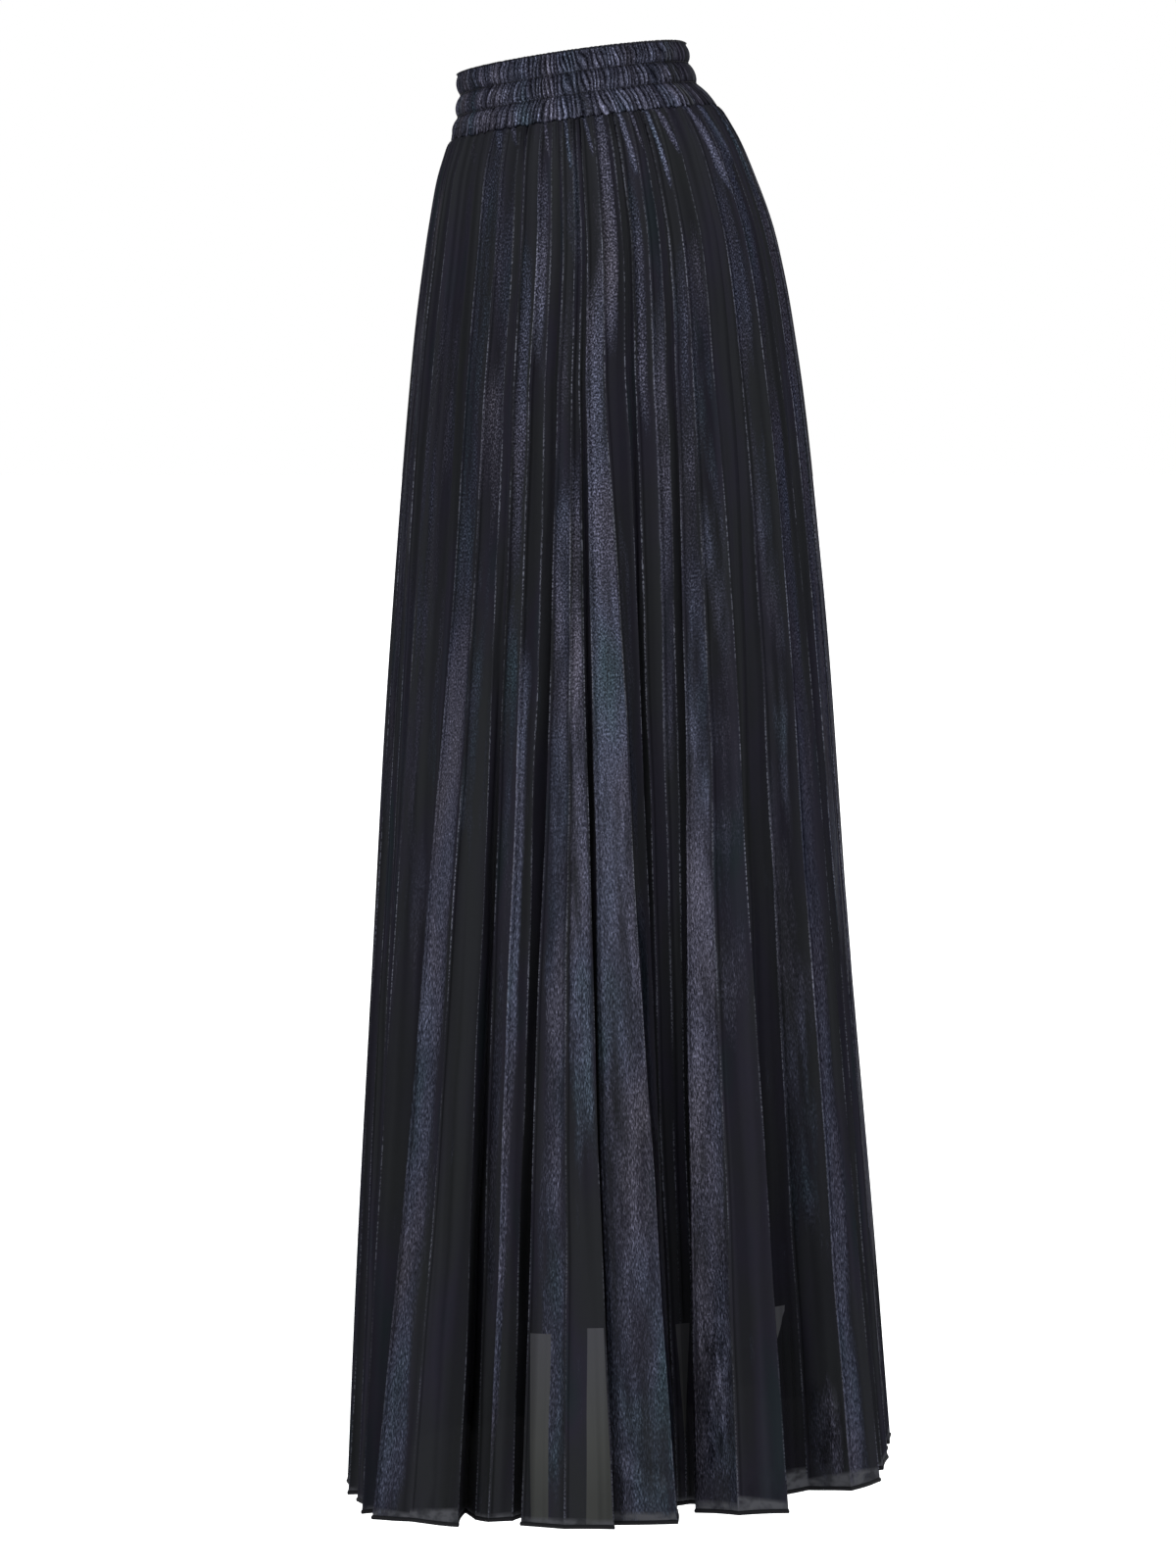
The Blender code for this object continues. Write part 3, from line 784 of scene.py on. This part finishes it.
# %% The metallic pleated cloth
def metallic_cloth(name, sheer, crinkle_depth, edge_light, gathered=False):
    """Matt cloth and metal in one finish, with all that lies on it."""
    finish = Finish(name)
    place = finish.uv("cloth")
    down = finish.math("MULTIPLY", finish.node("SeparateXYZ", {0: place}).outputs[1], -1.0)
    # Painted shade of the pleat layers behind: darker and lighter in slow vertical streaks.
    layer_shade = finish.ramp(finish.patches(place, 95, 1.5, 1.0), (0.38, 0.74), (0.60, 1.10))
    # The painted sheen level. Where it is high the cloth turns to metal, painted brighter.
    level = shine_level(finish, place)
    metal = finish.ramp(level, (0.28, 0.0), (0.95, 1.0))
    dashes = crinkle(finish, place, down)
    colour = cloth_and_metal(finish, place, down, layer_shade, metal, level, dashes)
    if gathered:
        colour = gathers(finish, place, colour)
    colour = lit_edges(finish, place, down, shaded(finish, colour), edge_light)
    colour, folds = crumples(finish, place, colour)
    colour, bare = light_through(finish, place, colour, layer_shade)
    fine = finish.node("Bump", {"Height": finish.times(dashes, metal), "Strength": 1.0,
                                "Distance": crinkle_depth})
    crushed = finish.node("Bump", {"Height": folds, "Distance": CRUMPLE_DEPTH,
                                   "Normal": fine.outputs["Normal"]})
    finish.set(Base_Color=colour, Metallic=finish.times(metal, bare), Roughness=0.40,
               Specular_IOR_Level=0.0, Specular_Tint=(0.38, 0.37, 0.36, 1), Alpha=sheer,
               Normal=crushed.outputs["Normal"])
    return finish.material


skirt_cloth = metallic_cloth("skirt_cloth", 0.975, 0.0005, 0.85)
band_cloth = metallic_cloth("band_cloth", 1.0, 0.0003, 0.0, gathered=True)
print("nodes in the skirt's cloth:", len(skirt_cloth.node_tree.nodes))

# %% Black lining, rolled hem and thread
def plain_cloth(name, colour, roughness, weave, specular=0.15):
    """A matt woven cloth: two sets of fine threads at right angles, from the UV map."""
    finish = Finish(name)
    place = finish.uv("cloth")
    warp, weft = (finish.node("TexWave", {"Vector": place, "Scale": weave, "Distortion": 0.4},
                              wave_type="BANDS", bands_direction=axis).outputs["Fac"]
                  for axis in "XY")
    bump = finish.node("Bump", {"Height": finish.math("ADD", warp, weft), "Distance": 0.0001,
                                "Strength": 0.6})
    dark = tuple(0.7 * c for c in colour)
    finish.set(Base_Color=finish.ramp(finish.noise(place, 30.0, 3.0), (0.3, dark), (0.7, colour)),
               Normal=bump.outputs["Normal"], Roughness=roughness, Specular_IOR_Level=specular)
    return finish.material


lining_cloth = plain_cloth("lining_cloth", (0.007, 0.007, 0.008), 0.8, 600.0)
hem_thread = plain_cloth("hem_thread", (0.008, 0.008, 0.010), 0.65, 900.0)
sewing_thread = plain_cloth("sewing_thread", (0.012, 0.012, 0.016), 0.5, 1500.0, 0.3)
print("materials:", len(bpy.data.materials))

# %% [markdown]
# ## The pleated skirt
#
# Two cut pieces, front and back, meet at the side seams. Each starts at the waist seam, where
# the pleats are gathered small, and ends at the hem. Rows lie close together at the puckers
# under the waist and at the crumples over the hem, and further apart between them.

# %% Marks and places on the pleats
CLOTH = 0.5 * MM  # how thick the skirt's cloth is
PANEL_SHIFT = 0.05  # metres of the pattern between one panel and the next
DEEP_FROM, DEEP_OVER = 0.22, 27 * MM  # where a groove's shade begins, and how fast it grows


def panel_uv(along, width, run, points):
    """Corners in metres: across from the panel's middle line, and down from the waist. Each
    panel has its own five centimetres, so no two show the same piece of the pattern."""
    across = along - width[..., None] / 2 + run[:-1][None, :, None] * PANEL_SHIFT
    return corner_uv(across, -way_along(points[:, ::7]).mean(axis=1)[:, None, None])


def strip_uv(along, width, run, fall):
    """Corners whose first number is 0 to 1 inside the panel's strip and far off where there is
    none, and whose second is metres below the strip's top."""
    share = (along + TURN) / (width[..., None] + 2 * TURN)
    table = np.array([from_table(STRIPS, p, (5, 6, 0, 0, 0.84)) for p in run[:-1]]).T
    first, final, moves, moves_final, top = table[:, None, :]
    below_top = fall[:, None] - top
    lean = np.maximum(0, below_top) / 0.13
    first, final = first + moves * lean, final + moves_final * lean
    inside = (share - first[..., None]) / np.maximum(final - first, 1e-4)[..., None]
    return corner_uv(inside, below_top[..., None])


def per_point(by_place):
    """Values for rows, panels and places across, as values for the cloth's grid of points. The
    crease takes the value of the panel that starts there."""
    with_crease = np.concatenate([by_place[..., :1], by_place], axis=2)
    flat = with_crease.reshape(len(by_place), -1)
    return np.concatenate([flat, flat[:, -1:]], axis=1)


def depth_inside(points, drops):
    """How far each point lies inside the skirt's widest outline. Flat boards are pushed against
    the creases from 36 sides, at each height, and the depth is the least gap to any board."""
    turn = np.radians(np.arange(0, 360, 10))
    boards = np.stack([np.cos(turn), np.sin(turn)])
    furthest = (crease_lines(drops)[..., :2] @ boards).max(axis=1, keepdims=True)
    return (furthest - points[..., :2] @ boards).min(axis=-1)


def marks_of(drops, points, along, width, run):
    """All that the skirt's material reads from the mesh, but for the two maps."""
    fall = (WAIST_DROP - drops) * CM
    walls = ((kind[run[:-1]] == GROOVE) | (kind[run[1:]] == GROOVE))[None, :, None]
    in_groove = per_point(walls + 0 * along[:, :, 1:-1])
    marks = {"edge_mm": crease_mm(along, width, run),
             "lee_mm": per_point(np.minimum(along[:, :, 1:-1] / MM + FAR * walls, FAR)),
             "deep": in_groove * np.clip(depth_inside(points, drops) / DEEP_OVER - DEEP_FROM, 0, 1)}
    # The painted sheen, pale hem and crumple marks, panel by panel.
    for mark, formula in (("painted_sheen", shine_of), ("pale", pale_of), ("crumple", crumple_of)):
        marks[mark] = per_point(formula(fall, run))
    return marks


# %% Skirt front and back
PUCKERS_END, CRUMPLES_BEGIN = -6.0, -88
drops = np.concatenate([np.linspace(WAIST_DROP, PUCKERS_END, 22)[:-1],
                        np.linspace(PUCKERS_END, CRUMPLES_BEGIN, 92)[:-1],
                        np.linspace(CRUMPLES_BEGIN, HEM_DROP, 34)])
skirt_pieces = {}
for name, first, final in (("skirt_front", -SIDE_SEAM, SIDE_SEAM),
                           ("skirt_back", SIDE_SEAM, len(creases) - SIDE_SEAM)):
    run = np.arange(first, final + 1) % len(creases)
    points, along, width = pleated_cloth(drops, run)
    piece = new_piece(name + "_cloth", points, grid_faces(*points.shape[:2]), skirt_cloth,
                      uv=panel_uv(along, width, run, points),
                      marks=marks_of(drops, points, along, width, run),
                      strip=strip_uv(along, width, run, (WAIST_DROP - drops) * CM))
    thicken(piece, CLOTH)
    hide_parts(name)
    skirt_pieces[name] = (piece, points)
    print(name, "rows and columns", points.shape[:2])

# %% [markdown]
# ## The rolled hem
#
# The lower edge is rolled round itself and bound with black thread. It reads as a thin dark
# cord that follows every pleat. A tube carried along the hem line makes it: at each point of
# the path a small oval is set square to the way the path goes.

# %% Hem cord
HEM_OUT, HEM_UP = 0.85 * MM, 1.55 * MM  # the oval's half sizes
HEM_RISE = 0.9 * MM  # its middle over the cloth's lower edge
HEM_SIDES, SIDE_WIDTH = 8, 0.9 * MM


def tube(path, radius_out, radius_up, sides):
    """An oval carried along a closed path, as rings of points and the quads that join them. Its
    two axes are the path's outward direction and up."""
    ahead = unit(np.roll(path, -1, axis=0) - np.roll(path, 1, axis=0))
    out = outward_of(ahead)
    up = unit(np.cross(out, ahead))
    turn = np.arange(sides)[None, :, None] * 2 * math.pi / sides
    ring = np.cos(turn) * out[:, None] * radius_out - np.sin(turn) * up[:, None] * radius_up
    return path[:, None] + ring, grid_faces(len(path), sides, True, True)[:, FLIPPED]


path = np.concatenate([points[-1, :-1] for _, points in skirt_pieces.values()])
hem_points, hem_faces = tube(path + np.array([0, 0, HEM_RISE]), HEM_OUT, HEM_UP, HEM_SIDES)
hem_along = way_along(np.concatenate([path, path[:1]]))
hem_uv = corner_uv(hem_along[:, None], np.arange(HEM_SIDES + 1) * SIDE_WIDTH)
skirt_hem = new_piece("skirt_hem", hem_points, hem_faces, hem_thread,
                      uv=hem_uv[..., FLIPPED, :])
print("hem is", round(float(hem_along[-1]), 3), "m round")

# %% [markdown]
# ## The lining
#
# A plain black tube, sewn in at the waist and shorter than the skirt. Its hem shows through the
# sheer cloth. It hangs a little inside the pleats, with slow flutes, and its lower edge is
# turned up on the inside by a centimetre and a half.

# %% Lining front and back
LINING_DROP = -87.0
TURN_UP = 1.5  # centimetres of hem
LINING_CLOTH = 0.35 * MM
HEM_LAYER = 0.9 * MM  # how far inside the lining its turned hem lies
LINING_HEM_SIZE = 0.75  # of the skirt's own ring at that height
UV_RADIUS = 0.17  # metres, near the lining's own


def lining_surface(drops, turns, inside):
    """The skirt's own rings made smaller: inset at the waist, and down to 0.75 of their size at
    the lining's hem, less a slow flute that only ever goes inwards."""
    radius = mean_radius(drops)
    down = ((drops - WAIST_DROP) / (LINING_DROP - WAIST_DROP))[:, None]
    hip = (HIP_DROP - WAIST_DROP) / (LINING_DROP - WAIST_DROP)
    at_hip = 1 - MM * (2.1 + 10.5 * np.minimum(1, down / hip) ** 0.4) / radius
    narrowing = np.maximum(0, (down - hip) / (1 - hip)) ** 0.85
    angle = np.radians(turns)[None, :]
    flute = 0.5 + 0.35 * np.sin(13 * angle + 1.3 + 1.5 * down) + 0.15 * np.sin(29 * angle + down)
    size = (at_hip + (LINING_HEM_SIZE - at_hip) * narrowing
            - (inside + 5 * MM * np.maximum(0, down) ** 1.6 * flute) / radius)
    return on_rings(SKIRT_RINGS, drops, size * np.sin(angle), -size * np.cos(angle))


hang = np.linspace(WAIST_DROP - 0.05, LINING_DROP, 56)
turn_up = np.linspace(LINING_DROP, LINING_DROP + TURN_UP, 5)
cloth_drops = np.concatenate([hang, 2 * LINING_DROP - turn_up])[:, None]
lining_pieces = {}
for name, first, final in (("lining_front", -84, 84), ("lining_back", 84, 276)):
    turns = np.linspace(first, final, 161)
    points = np.concatenate([lining_surface(hang, turns, 0.0),
                             lining_surface(turn_up, turns, HEM_LAYER)])
    faces = grid_faces(*points.shape[:2])
    piece = new_piece(name + "_cloth", points, faces, lining_cloth,
                      uv=corner_uv(np.radians(turns) * UV_RADIUS, cloth_drops * CM))
    thicken(piece, LINING_CLOTH)
    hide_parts(name)
    lining_pieces[name] = (piece, points, area_of(points, faces))
    print(name, "rows and columns", points.shape[:2])

# %% [markdown]
# ## The waistband
#
# The band is a tube of the same cloth, sewn down over elastic in three tiers. The elastic pulls
# it short, so each tier puffs out between its stitch rows and breaks into dozens of narrow
# gathers. A gather is round on top and sharp in its valley, and this is what the absolute value
# of a sine looks like. Where one stands along the waist is a running count that speeds up and
# slows down, so no two are quite alike, and each tier has its own count and its own lean.

# %% Gathers of the band
GATHERS = 150
TIERS = 3
TIER_ROWS = 12
MID_TIER, LOW_TIER = 1, 2
LEAN = np.array([0.0, 0.3, 1.8])  # degrees that a gather leans over a tier's height
SIDE_LEAN = 2.2  # more degrees at the front, and as many less at the back
gather_luck = luck.uniform(0, 2 * math.pi, (TIERS, 8))
gather_size = luck.uniform(0.62, 1.0, (TIERS, GATHERS))


def gather_height(turns, tier, down):
    """0 in a valley to 1 on a gather. The count along the waist is the angle times the number
    of gathers, bent by slow waves. Each gather has its own size, which changes in a valley."""
    angle = np.radians(turns)
    phase = gather_luck[tier]
    lean = (LEAN[tier] + SIDE_LEAN * np.cos(angle)) * (down - 0.5)
    count = GATHERS * np.radians(turns + lean) / (2 * math.pi)
    count = count + 3.2 * np.sin(angle - 0.6) * (0.9 if tier == MID_TIER else 1)
    for reach, waves, shift in ((0.50, 9, phase[0]), (0.36, 17, phase[1]),
                               (0.22, 41, phase[2] + 2.4 * down),
                               (0.7 * (down - 0.5), 6, phase[3]),
                               (0.09, 14, phase[6] + 4.5 * down)):
        count = count + reach * np.sin(waves * angle + shift)
    size = gather_size[tier, np.floor(count).astype(int) % GATHERS]
    return abs(np.sin(math.pi * count)) ** 0.8 * size


print("gathers:", TIERS, "tiers of", GATHERS)

# %% Band surface
TIER_PUFF = 2.7 * MM  # how far a tier stands out between its stitch rows
RIM_PUFF, SEAM_PUFF = 2.0 * MM, 2.2 * MM  # and at least so far at the rim and the seam
GATHER_DEPTH = 2.1 * MM
SCALLOP = 3.8 * MM  # how far the lower edge dips between the pleats
CASING = 3.0 * MM  # from the band's ring in to the inner face
INNER_DEPTH, CROWN = 0.5 * MM, 0.5 * MM  # the inner gathers, and the rim's rise


def band_surface(turns, share, relief):
    """The band's ring at each height, moved straight out from it by the relief."""
    top, bottom = BAND_RINGS[0, 0], BAND_RINGS[-1, 0] + 0.03
    drops = top + share * (bottom - top)
    angle = np.radians(turns)[None, :]
    points = on_rings(BAND_RINGS, drops, np.sin(angle), -np.cos(angle))
    _, front, back, side = rings_at(BAND_RINGS, drops)
    out = np.stack([np.sin(angle) / side, -2 * np.cos(angle) / (back - front),
                    np.zeros_like(side * angle)], axis=-1)
    return points + unit(out) * relief[..., None]


def outer_face(turns):
    """The tiers from the rim to the seam: the points, and how high each stands on its gather.
    Each tier is half a wave, and its lower edge is scalloped where the pleats leave it."""
    share = np.linspace(0, 1, TIERS * TIER_ROWS + 1)
    tier = np.minimum((share * TIERS + 1e-9).astype(int), TIERS - 1)
    down = share * TIERS - tier
    arch = np.sin(math.pi * down)
    height = np.stack([gather_height(turns, t, d) for t, d in zip(tier, down)])
    puff = np.maximum(TIER_PUFF * arch**0.8, RIM_PUFF * np.clip(1 - share * 9, 0, 1))
    puff[share > 0.9] = np.maximum(puff[share > 0.9], SEAM_PUFF)
    height = height * np.clip(0.62 + 1.3 * arch, 0, 1)[:, None]
    pinch = 0.25 + 0.75 * arch**0.5
    points = band_surface(turns, share,
                          puff[:, None] + GATHER_DEPTH * pinch[:, None] * (height - 0.75))
    angle = np.radians(turns)
    wide = abs(np.sin(angle * 31 + 1.5 * np.sin(angle * 7 + 1)))
    scallop = SCALLOP * (0.45 * gather_height(turns, LOW_TIER, 0.9) + 0.55 * wide)
    points[-3:, :, 2] -= np.array([0.2, 0.6, 1.0])[:, None] * scallop
    # The third result is the ridge mark that sets the gathers' painted highlight and shade, a tenth
    # stronger on the lowest tier.
    return points, height, height * np.where(tier == LOW_TIER, 1.1, 1)[:, None]


def band_half(first, final):
    """A closed loop of rows: the rim's crown, the outer face down, and the inner face up."""
    turns = np.linspace(first, final, int((final - first) / 360 * GATHERS * 8) + 1)
    outer, height, outer_ridge = outer_face(turns)
    share = np.linspace(1, 0, TIER_ROWS + 1)
    inner_height = np.stack([gather_height(turns, MID_TIER, d % 1) for d in share * TIERS])
    inner = band_surface(turns, share, INNER_DEPTH * (inner_height - 1) - CASING)
    rise = CROWN + 0.7 * MM * height[:1, :, None]
    crown = (outer[:1] + inner[-1:]) / 2 + rise * np.array([0, 0, 1])
    # The ridge mark for the painted highlight is weaker on the inner face, and weakest on the rim's
    # crown, which is painted darker.
    ridge = np.concatenate([0.3 * height[:1], outer_ridge, 0.8 * inner_height])
    return turns, np.concatenate([crown, outer, inner]), ridge


# %% Waistband front and back
UV_SPREAD, UV_ROW = 0.105 * 1.8, 1.4 * MM  # metres of cloth for a radian, and for a row


def band_shine(turns):
    """The band's painted sheen: full at the sides, and less at the centre front and the centre
    back.
    """
    from_front = abs((turns + 180) % 360 - 180)
    painted_sheen = 0.95 - 0.75 * np.clip((from_front - 128) / 30, 0, 1)
    return painted_sheen - 0.35 * np.clip((50 - from_front) / 25, 0, 1)


for name, first, final in (("waistband_front", -86, 86), ("waistband_back", 86, 274)):
    turns, points, ridge = band_half(first, final)
    rows, columns = points.shape[:2]
    start_ring = np.arange(rows) * columns
    piece = new_piece(name + "_cloth", points, grid_faces(rows, columns, rows_join=True),
                      band_cloth,
                      uv=corner_uv(np.radians(turns) * UV_SPREAD,
                                   -np.arange(rows + 1)[:, None] * UV_ROW),
                      marks={"edge_mm": FAR, "lee_mm": FAR, "pale": FAR, "crumple": 0.0,
                             "deep": 0.0, "ridge": ridge, "painted_sheen": band_shine(turns)},
                      caps=[start_ring[::-1], start_ring + columns - 1])
    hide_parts(name)
    print(name, "rows and columns", (rows, columns))

# %% [markdown]
# ## Stitches
#
# Rows of black stitches hold the elastic at the rim and between the tiers, and one row holds the
# lining's turned hem. A stitch is a short thread that comes out of the cloth and dives back into
# it. Each could be a curve object, but there are nearly a thousand, so all of one row are worked
# out together: places along a line, four to a stitch, lifted in a low arch, with a small
# six-sided ring round each place.

# %% Rows of stitches
PLACES, SIDES = 4, 6  # a stitch's rings, and the corners of each
# The distance from stitch to stitch, the length of one, its half thickness and its lift.
BAND_STITCH = np.array([2.6, 1.8, 0.22, 0.30]) * MM
LINING_STITCH = np.array([5, 1.6, 0.2, -0.35]) * MM
# The band's rows: how far down from the rim, as a share, and how far out.
BAND_ROWS = ((0.012, 2.0 * MM), (0.333, 0.1 * MM), (0.667, 0.1 * MM))


def stitch_row(line, pitch, length, thread, lift):
    """Small closed tubes along a closed line. A stitch begins at every pitch, its height over
    the line is the lift times the sine of the way along it, and its ends are thinner."""
    line = np.concatenate([line, line[:1]])
    run = way_along(line)
    count = int(run[-1] / pitch)
    part = np.linspace(0, 1, PLACES)
    places = (np.arange(count)[:, None] * run[-1] / count + part * length) % run[-1]
    middle = np.stack([np.interp(places, run, line[:, k]) for k in range(3)], axis=-1)
    ahead = unit(np.gradient(middle, axis=1))
    out = outward_of(ahead)
    up = unit(np.cross(out, ahead))
    middle = middle + out * (lift * np.sin(math.pi * part))[None, :, None]
    turn = np.arange(SIDES)[:, None] * 2 * math.pi / SIDES
    ring = np.cos(turn) * out[:, :, None] - np.sin(turn) * up[:, :, None]
    thick = thread * np.array([0.5, 1, 1, 0.5])[None, :, None, None]
    return middle[:, :, None] + thick * ring


def stitches(name, rows):
    """All rows of one kind as one piece."""
    threads = np.concatenate(rows)
    base = np.arange(len(threads))[:, None] * PLACES * SIDES
    faces = base[..., None] + grid_faces(PLACES, SIDES, columns_join=True)[:, FLIPPED]
    faces = faces.reshape(-1, 4)
    ends = base + np.arange(SIDES)
    caps = list(ends[:, ::-1]) + list(ends + (PLACES - 1) * SIDES)
    uv = np.tile(np.array([(0, 0), (0, 1), (1, 1), (1, 0)]) * 0.4 * MM, (len(faces), 1))
    new_piece(name, threads, faces, sewing_thread, uv=uv, caps=caps)
    print(name, len(threads))


all_round = np.linspace(0, 360, 2401)[:-1]
lines = [band_surface(all_round, np.array([share]), np.full((1, len(all_round)), out))[0]
         for share, out in BAND_ROWS]
stitches("band_stitches", [stitch_row(line, *BAND_STITCH) for line in lines])
line = lining_surface(np.array([LINING_DROP + 1.3]), all_round, HEM_LAYER + LINING_CLOTH)[0]
stitches("lining_stitches", [stitch_row(line, *LINING_STITCH)])

# %% [markdown]
# ## Side seams
#
# Front and back are joined at the two side creases, with their raw edges pressed to one side
# and overlocked. From outside only the crease shows. From below, the narrow doubled strip runs
# up the inside of the skirt. It is a grid of its own, laid a millimetre inside the panel.

# %% Seam strips
STRIP_WAY = np.array([0.8, 3.0, 5.2, 7.4]) * MM  # from the crease towards its neighbour
STRIP_IN = np.array([0.9, 1.2, 1.5, 1.7]) * MM  # and inside the panel, at each


def seam_strip(name, crease, side):
    """A strip seven millimetres wide on the inner side, from a crease towards the next one
    (side 1) or the last one (side -1)."""
    drops = np.linspace(PUCKERS_END, HEM_DROP + 0.8, 70)
    lines = crease_lines(drops)
    start = lines[:, crease]
    towards = unit(lines[:, crease + side] - start)
    out = outward_of(towards * side)
    points = (start[:, None] + STRIP_WAY[:, None] * towards[:, None]
              - STRIP_IN[:, None] * out[:, None])
    piece = new_piece(name, points, grid_faces(*points.shape[:2])[:, ::side], hem_thread,
                      uv=corner_uv(STRIP_WAY, drops[:, None] * CM))
    thicken(piece, 0.4 * MM)
    print(name, "length", round(float(way_along(start)[-1]), 3))


seam_strip("side_seam_left", SIDE_SEAM, -1)
seam_strip("side_seam_right", len(creases) - SIDE_SEAM, 1)

# %% [markdown]
# ## Each sheet's cut
#
# A sunray pleated piece is a part of a flat ring: its inner arc is the waist and its outer arc the
# hem. The rectangle round that part and its area follow from the two arcs and the length between
# them. The lining is cut with a curve at the hip; here its widest row is measured, and its area was
# measured as it was made.


for name, (piece, points, area) in lining_pieces.items():
    widest = float(way_along(points.swapaxes(0, 1))[-1].max())

# %% [markdown]
# ## Floor and light
#
# The photo is a cut-out on white, with one broad light on the wearer's front left. A tall soft
# box does that. A second one behind the wearer's left lights the rear pleats, and a weaker one
# on the far side keeps the other views readable. The floor and the background are plain and
# pale.

# %% Studio
FLOOR_LEVEL, FLOOR_REACH = -1.2, 30.0  # metres
SKIRT_MIDDLE = (0, 0, -0.5)  # what the lights aim at
WHITE, SKY = (1, 1, 1, 1), (0.95, 0.97, 1.0, 1)
SKY_STRENGTH = 0.78


def softbox(name, azimuth, distance, height, size, power):
    """A rectangle that glows towards the skirt. Azimuth 0 is the wearer's front, 90 the left."""
    lamp = link_new(name, bpy.data.lights.new(name, "AREA"))
    lamp.data.shape = "RECTANGLE"
    lamp.data.size, lamp.data.size_y = size
    lamp.data.energy = power
    a = math.radians(azimuth)
    lamp.location = (distance * math.sin(a), -distance * math.cos(a), height)
    towards = np.array(SKIRT_MIDDLE) - np.array(lamp.location)
    heading = math.atan2(towards[1], towards[0])
    pitch = math.atan2(towards[2], math.hypot(towards[0], towards[1]))
    lamp.rotation_euler = (math.pi / 2 + pitch, 0, heading - math.pi / 2)
    print(name, "at", [round(n, 2) for n in lamp.location], "with", power, "W")


softbox("key_light", 58, 3.2, 0.25, (1.1, 2.4), 24)
softbox("fill_light", 146, 3.4, 0.4, (1.6, 2.4), 20)
softbox("far_light", 272, 3.4, 1.2, (1.6, 2.2), 14)

floor_mesh = bpy.data.meshes.new("floor")
floor_mesh.from_pydata([(x * FLOOR_REACH, y * FLOOR_REACH, FLOOR_LEVEL)
                        for x, y in ((-1, -1), (1, -1), (1, 1), (-1, 1))], [], [(0, 1, 2, 3)])
floor = link_new("floor", floor_mesh)
pale_floor = Finish("pale_floor")
pale_floor.set(Base_Color=(0.9, 0.9, 0.9, 1), Roughness=0.9, Specular_IOR_Level=0.0,
               Emission_Color=WHITE,
               Emission_Strength=pale_floor.node("LightPath").outputs["Is Camera Ray"])
floor_mesh.materials.append(pale_floor.material)
floor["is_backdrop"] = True

# %% Background
world = bpy.data.worlds.new("studio")
bpy.context.scene.world = world
world.use_nodes = True
nodes, links = world.node_tree.nodes, world.node_tree.links
nodes.clear()
seen, lit = nodes.new("ShaderNodeBackground"), nodes.new("ShaderNodeBackground")
seen.inputs["Color"].default_value = WHITE
lit.inputs["Color"].default_value = SKY
lit.inputs["Strength"].default_value = SKY_STRENGTH
rays = nodes.new("ShaderNodeLightPath")
choice = nodes.new("ShaderNodeMixShader")
output = nodes.new("ShaderNodeOutputWorld")
for socket, made in enumerate((rays.outputs["Is Camera Ray"], lit.outputs[0], seen.outputs[0])):
    links.new(made, choice.inputs[socket])
links.new(choice.outputs[0], output.inputs["Surface"])
bpy.context.scene.view_settings.view_transform = "Standard"
bpy.context.scene.view_settings.look = "None"
print("sky strength", SKY_STRENGTH)

bpy.context.view_layer.update()
dressed_box = [list(corner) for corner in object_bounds()]
over = [[round(1000 * (d - c), 1) for c, d in zip(*pair)] for pair in zip(cad_box, dressed_box)]
print("dressed box less CAD box, in mm:", over)
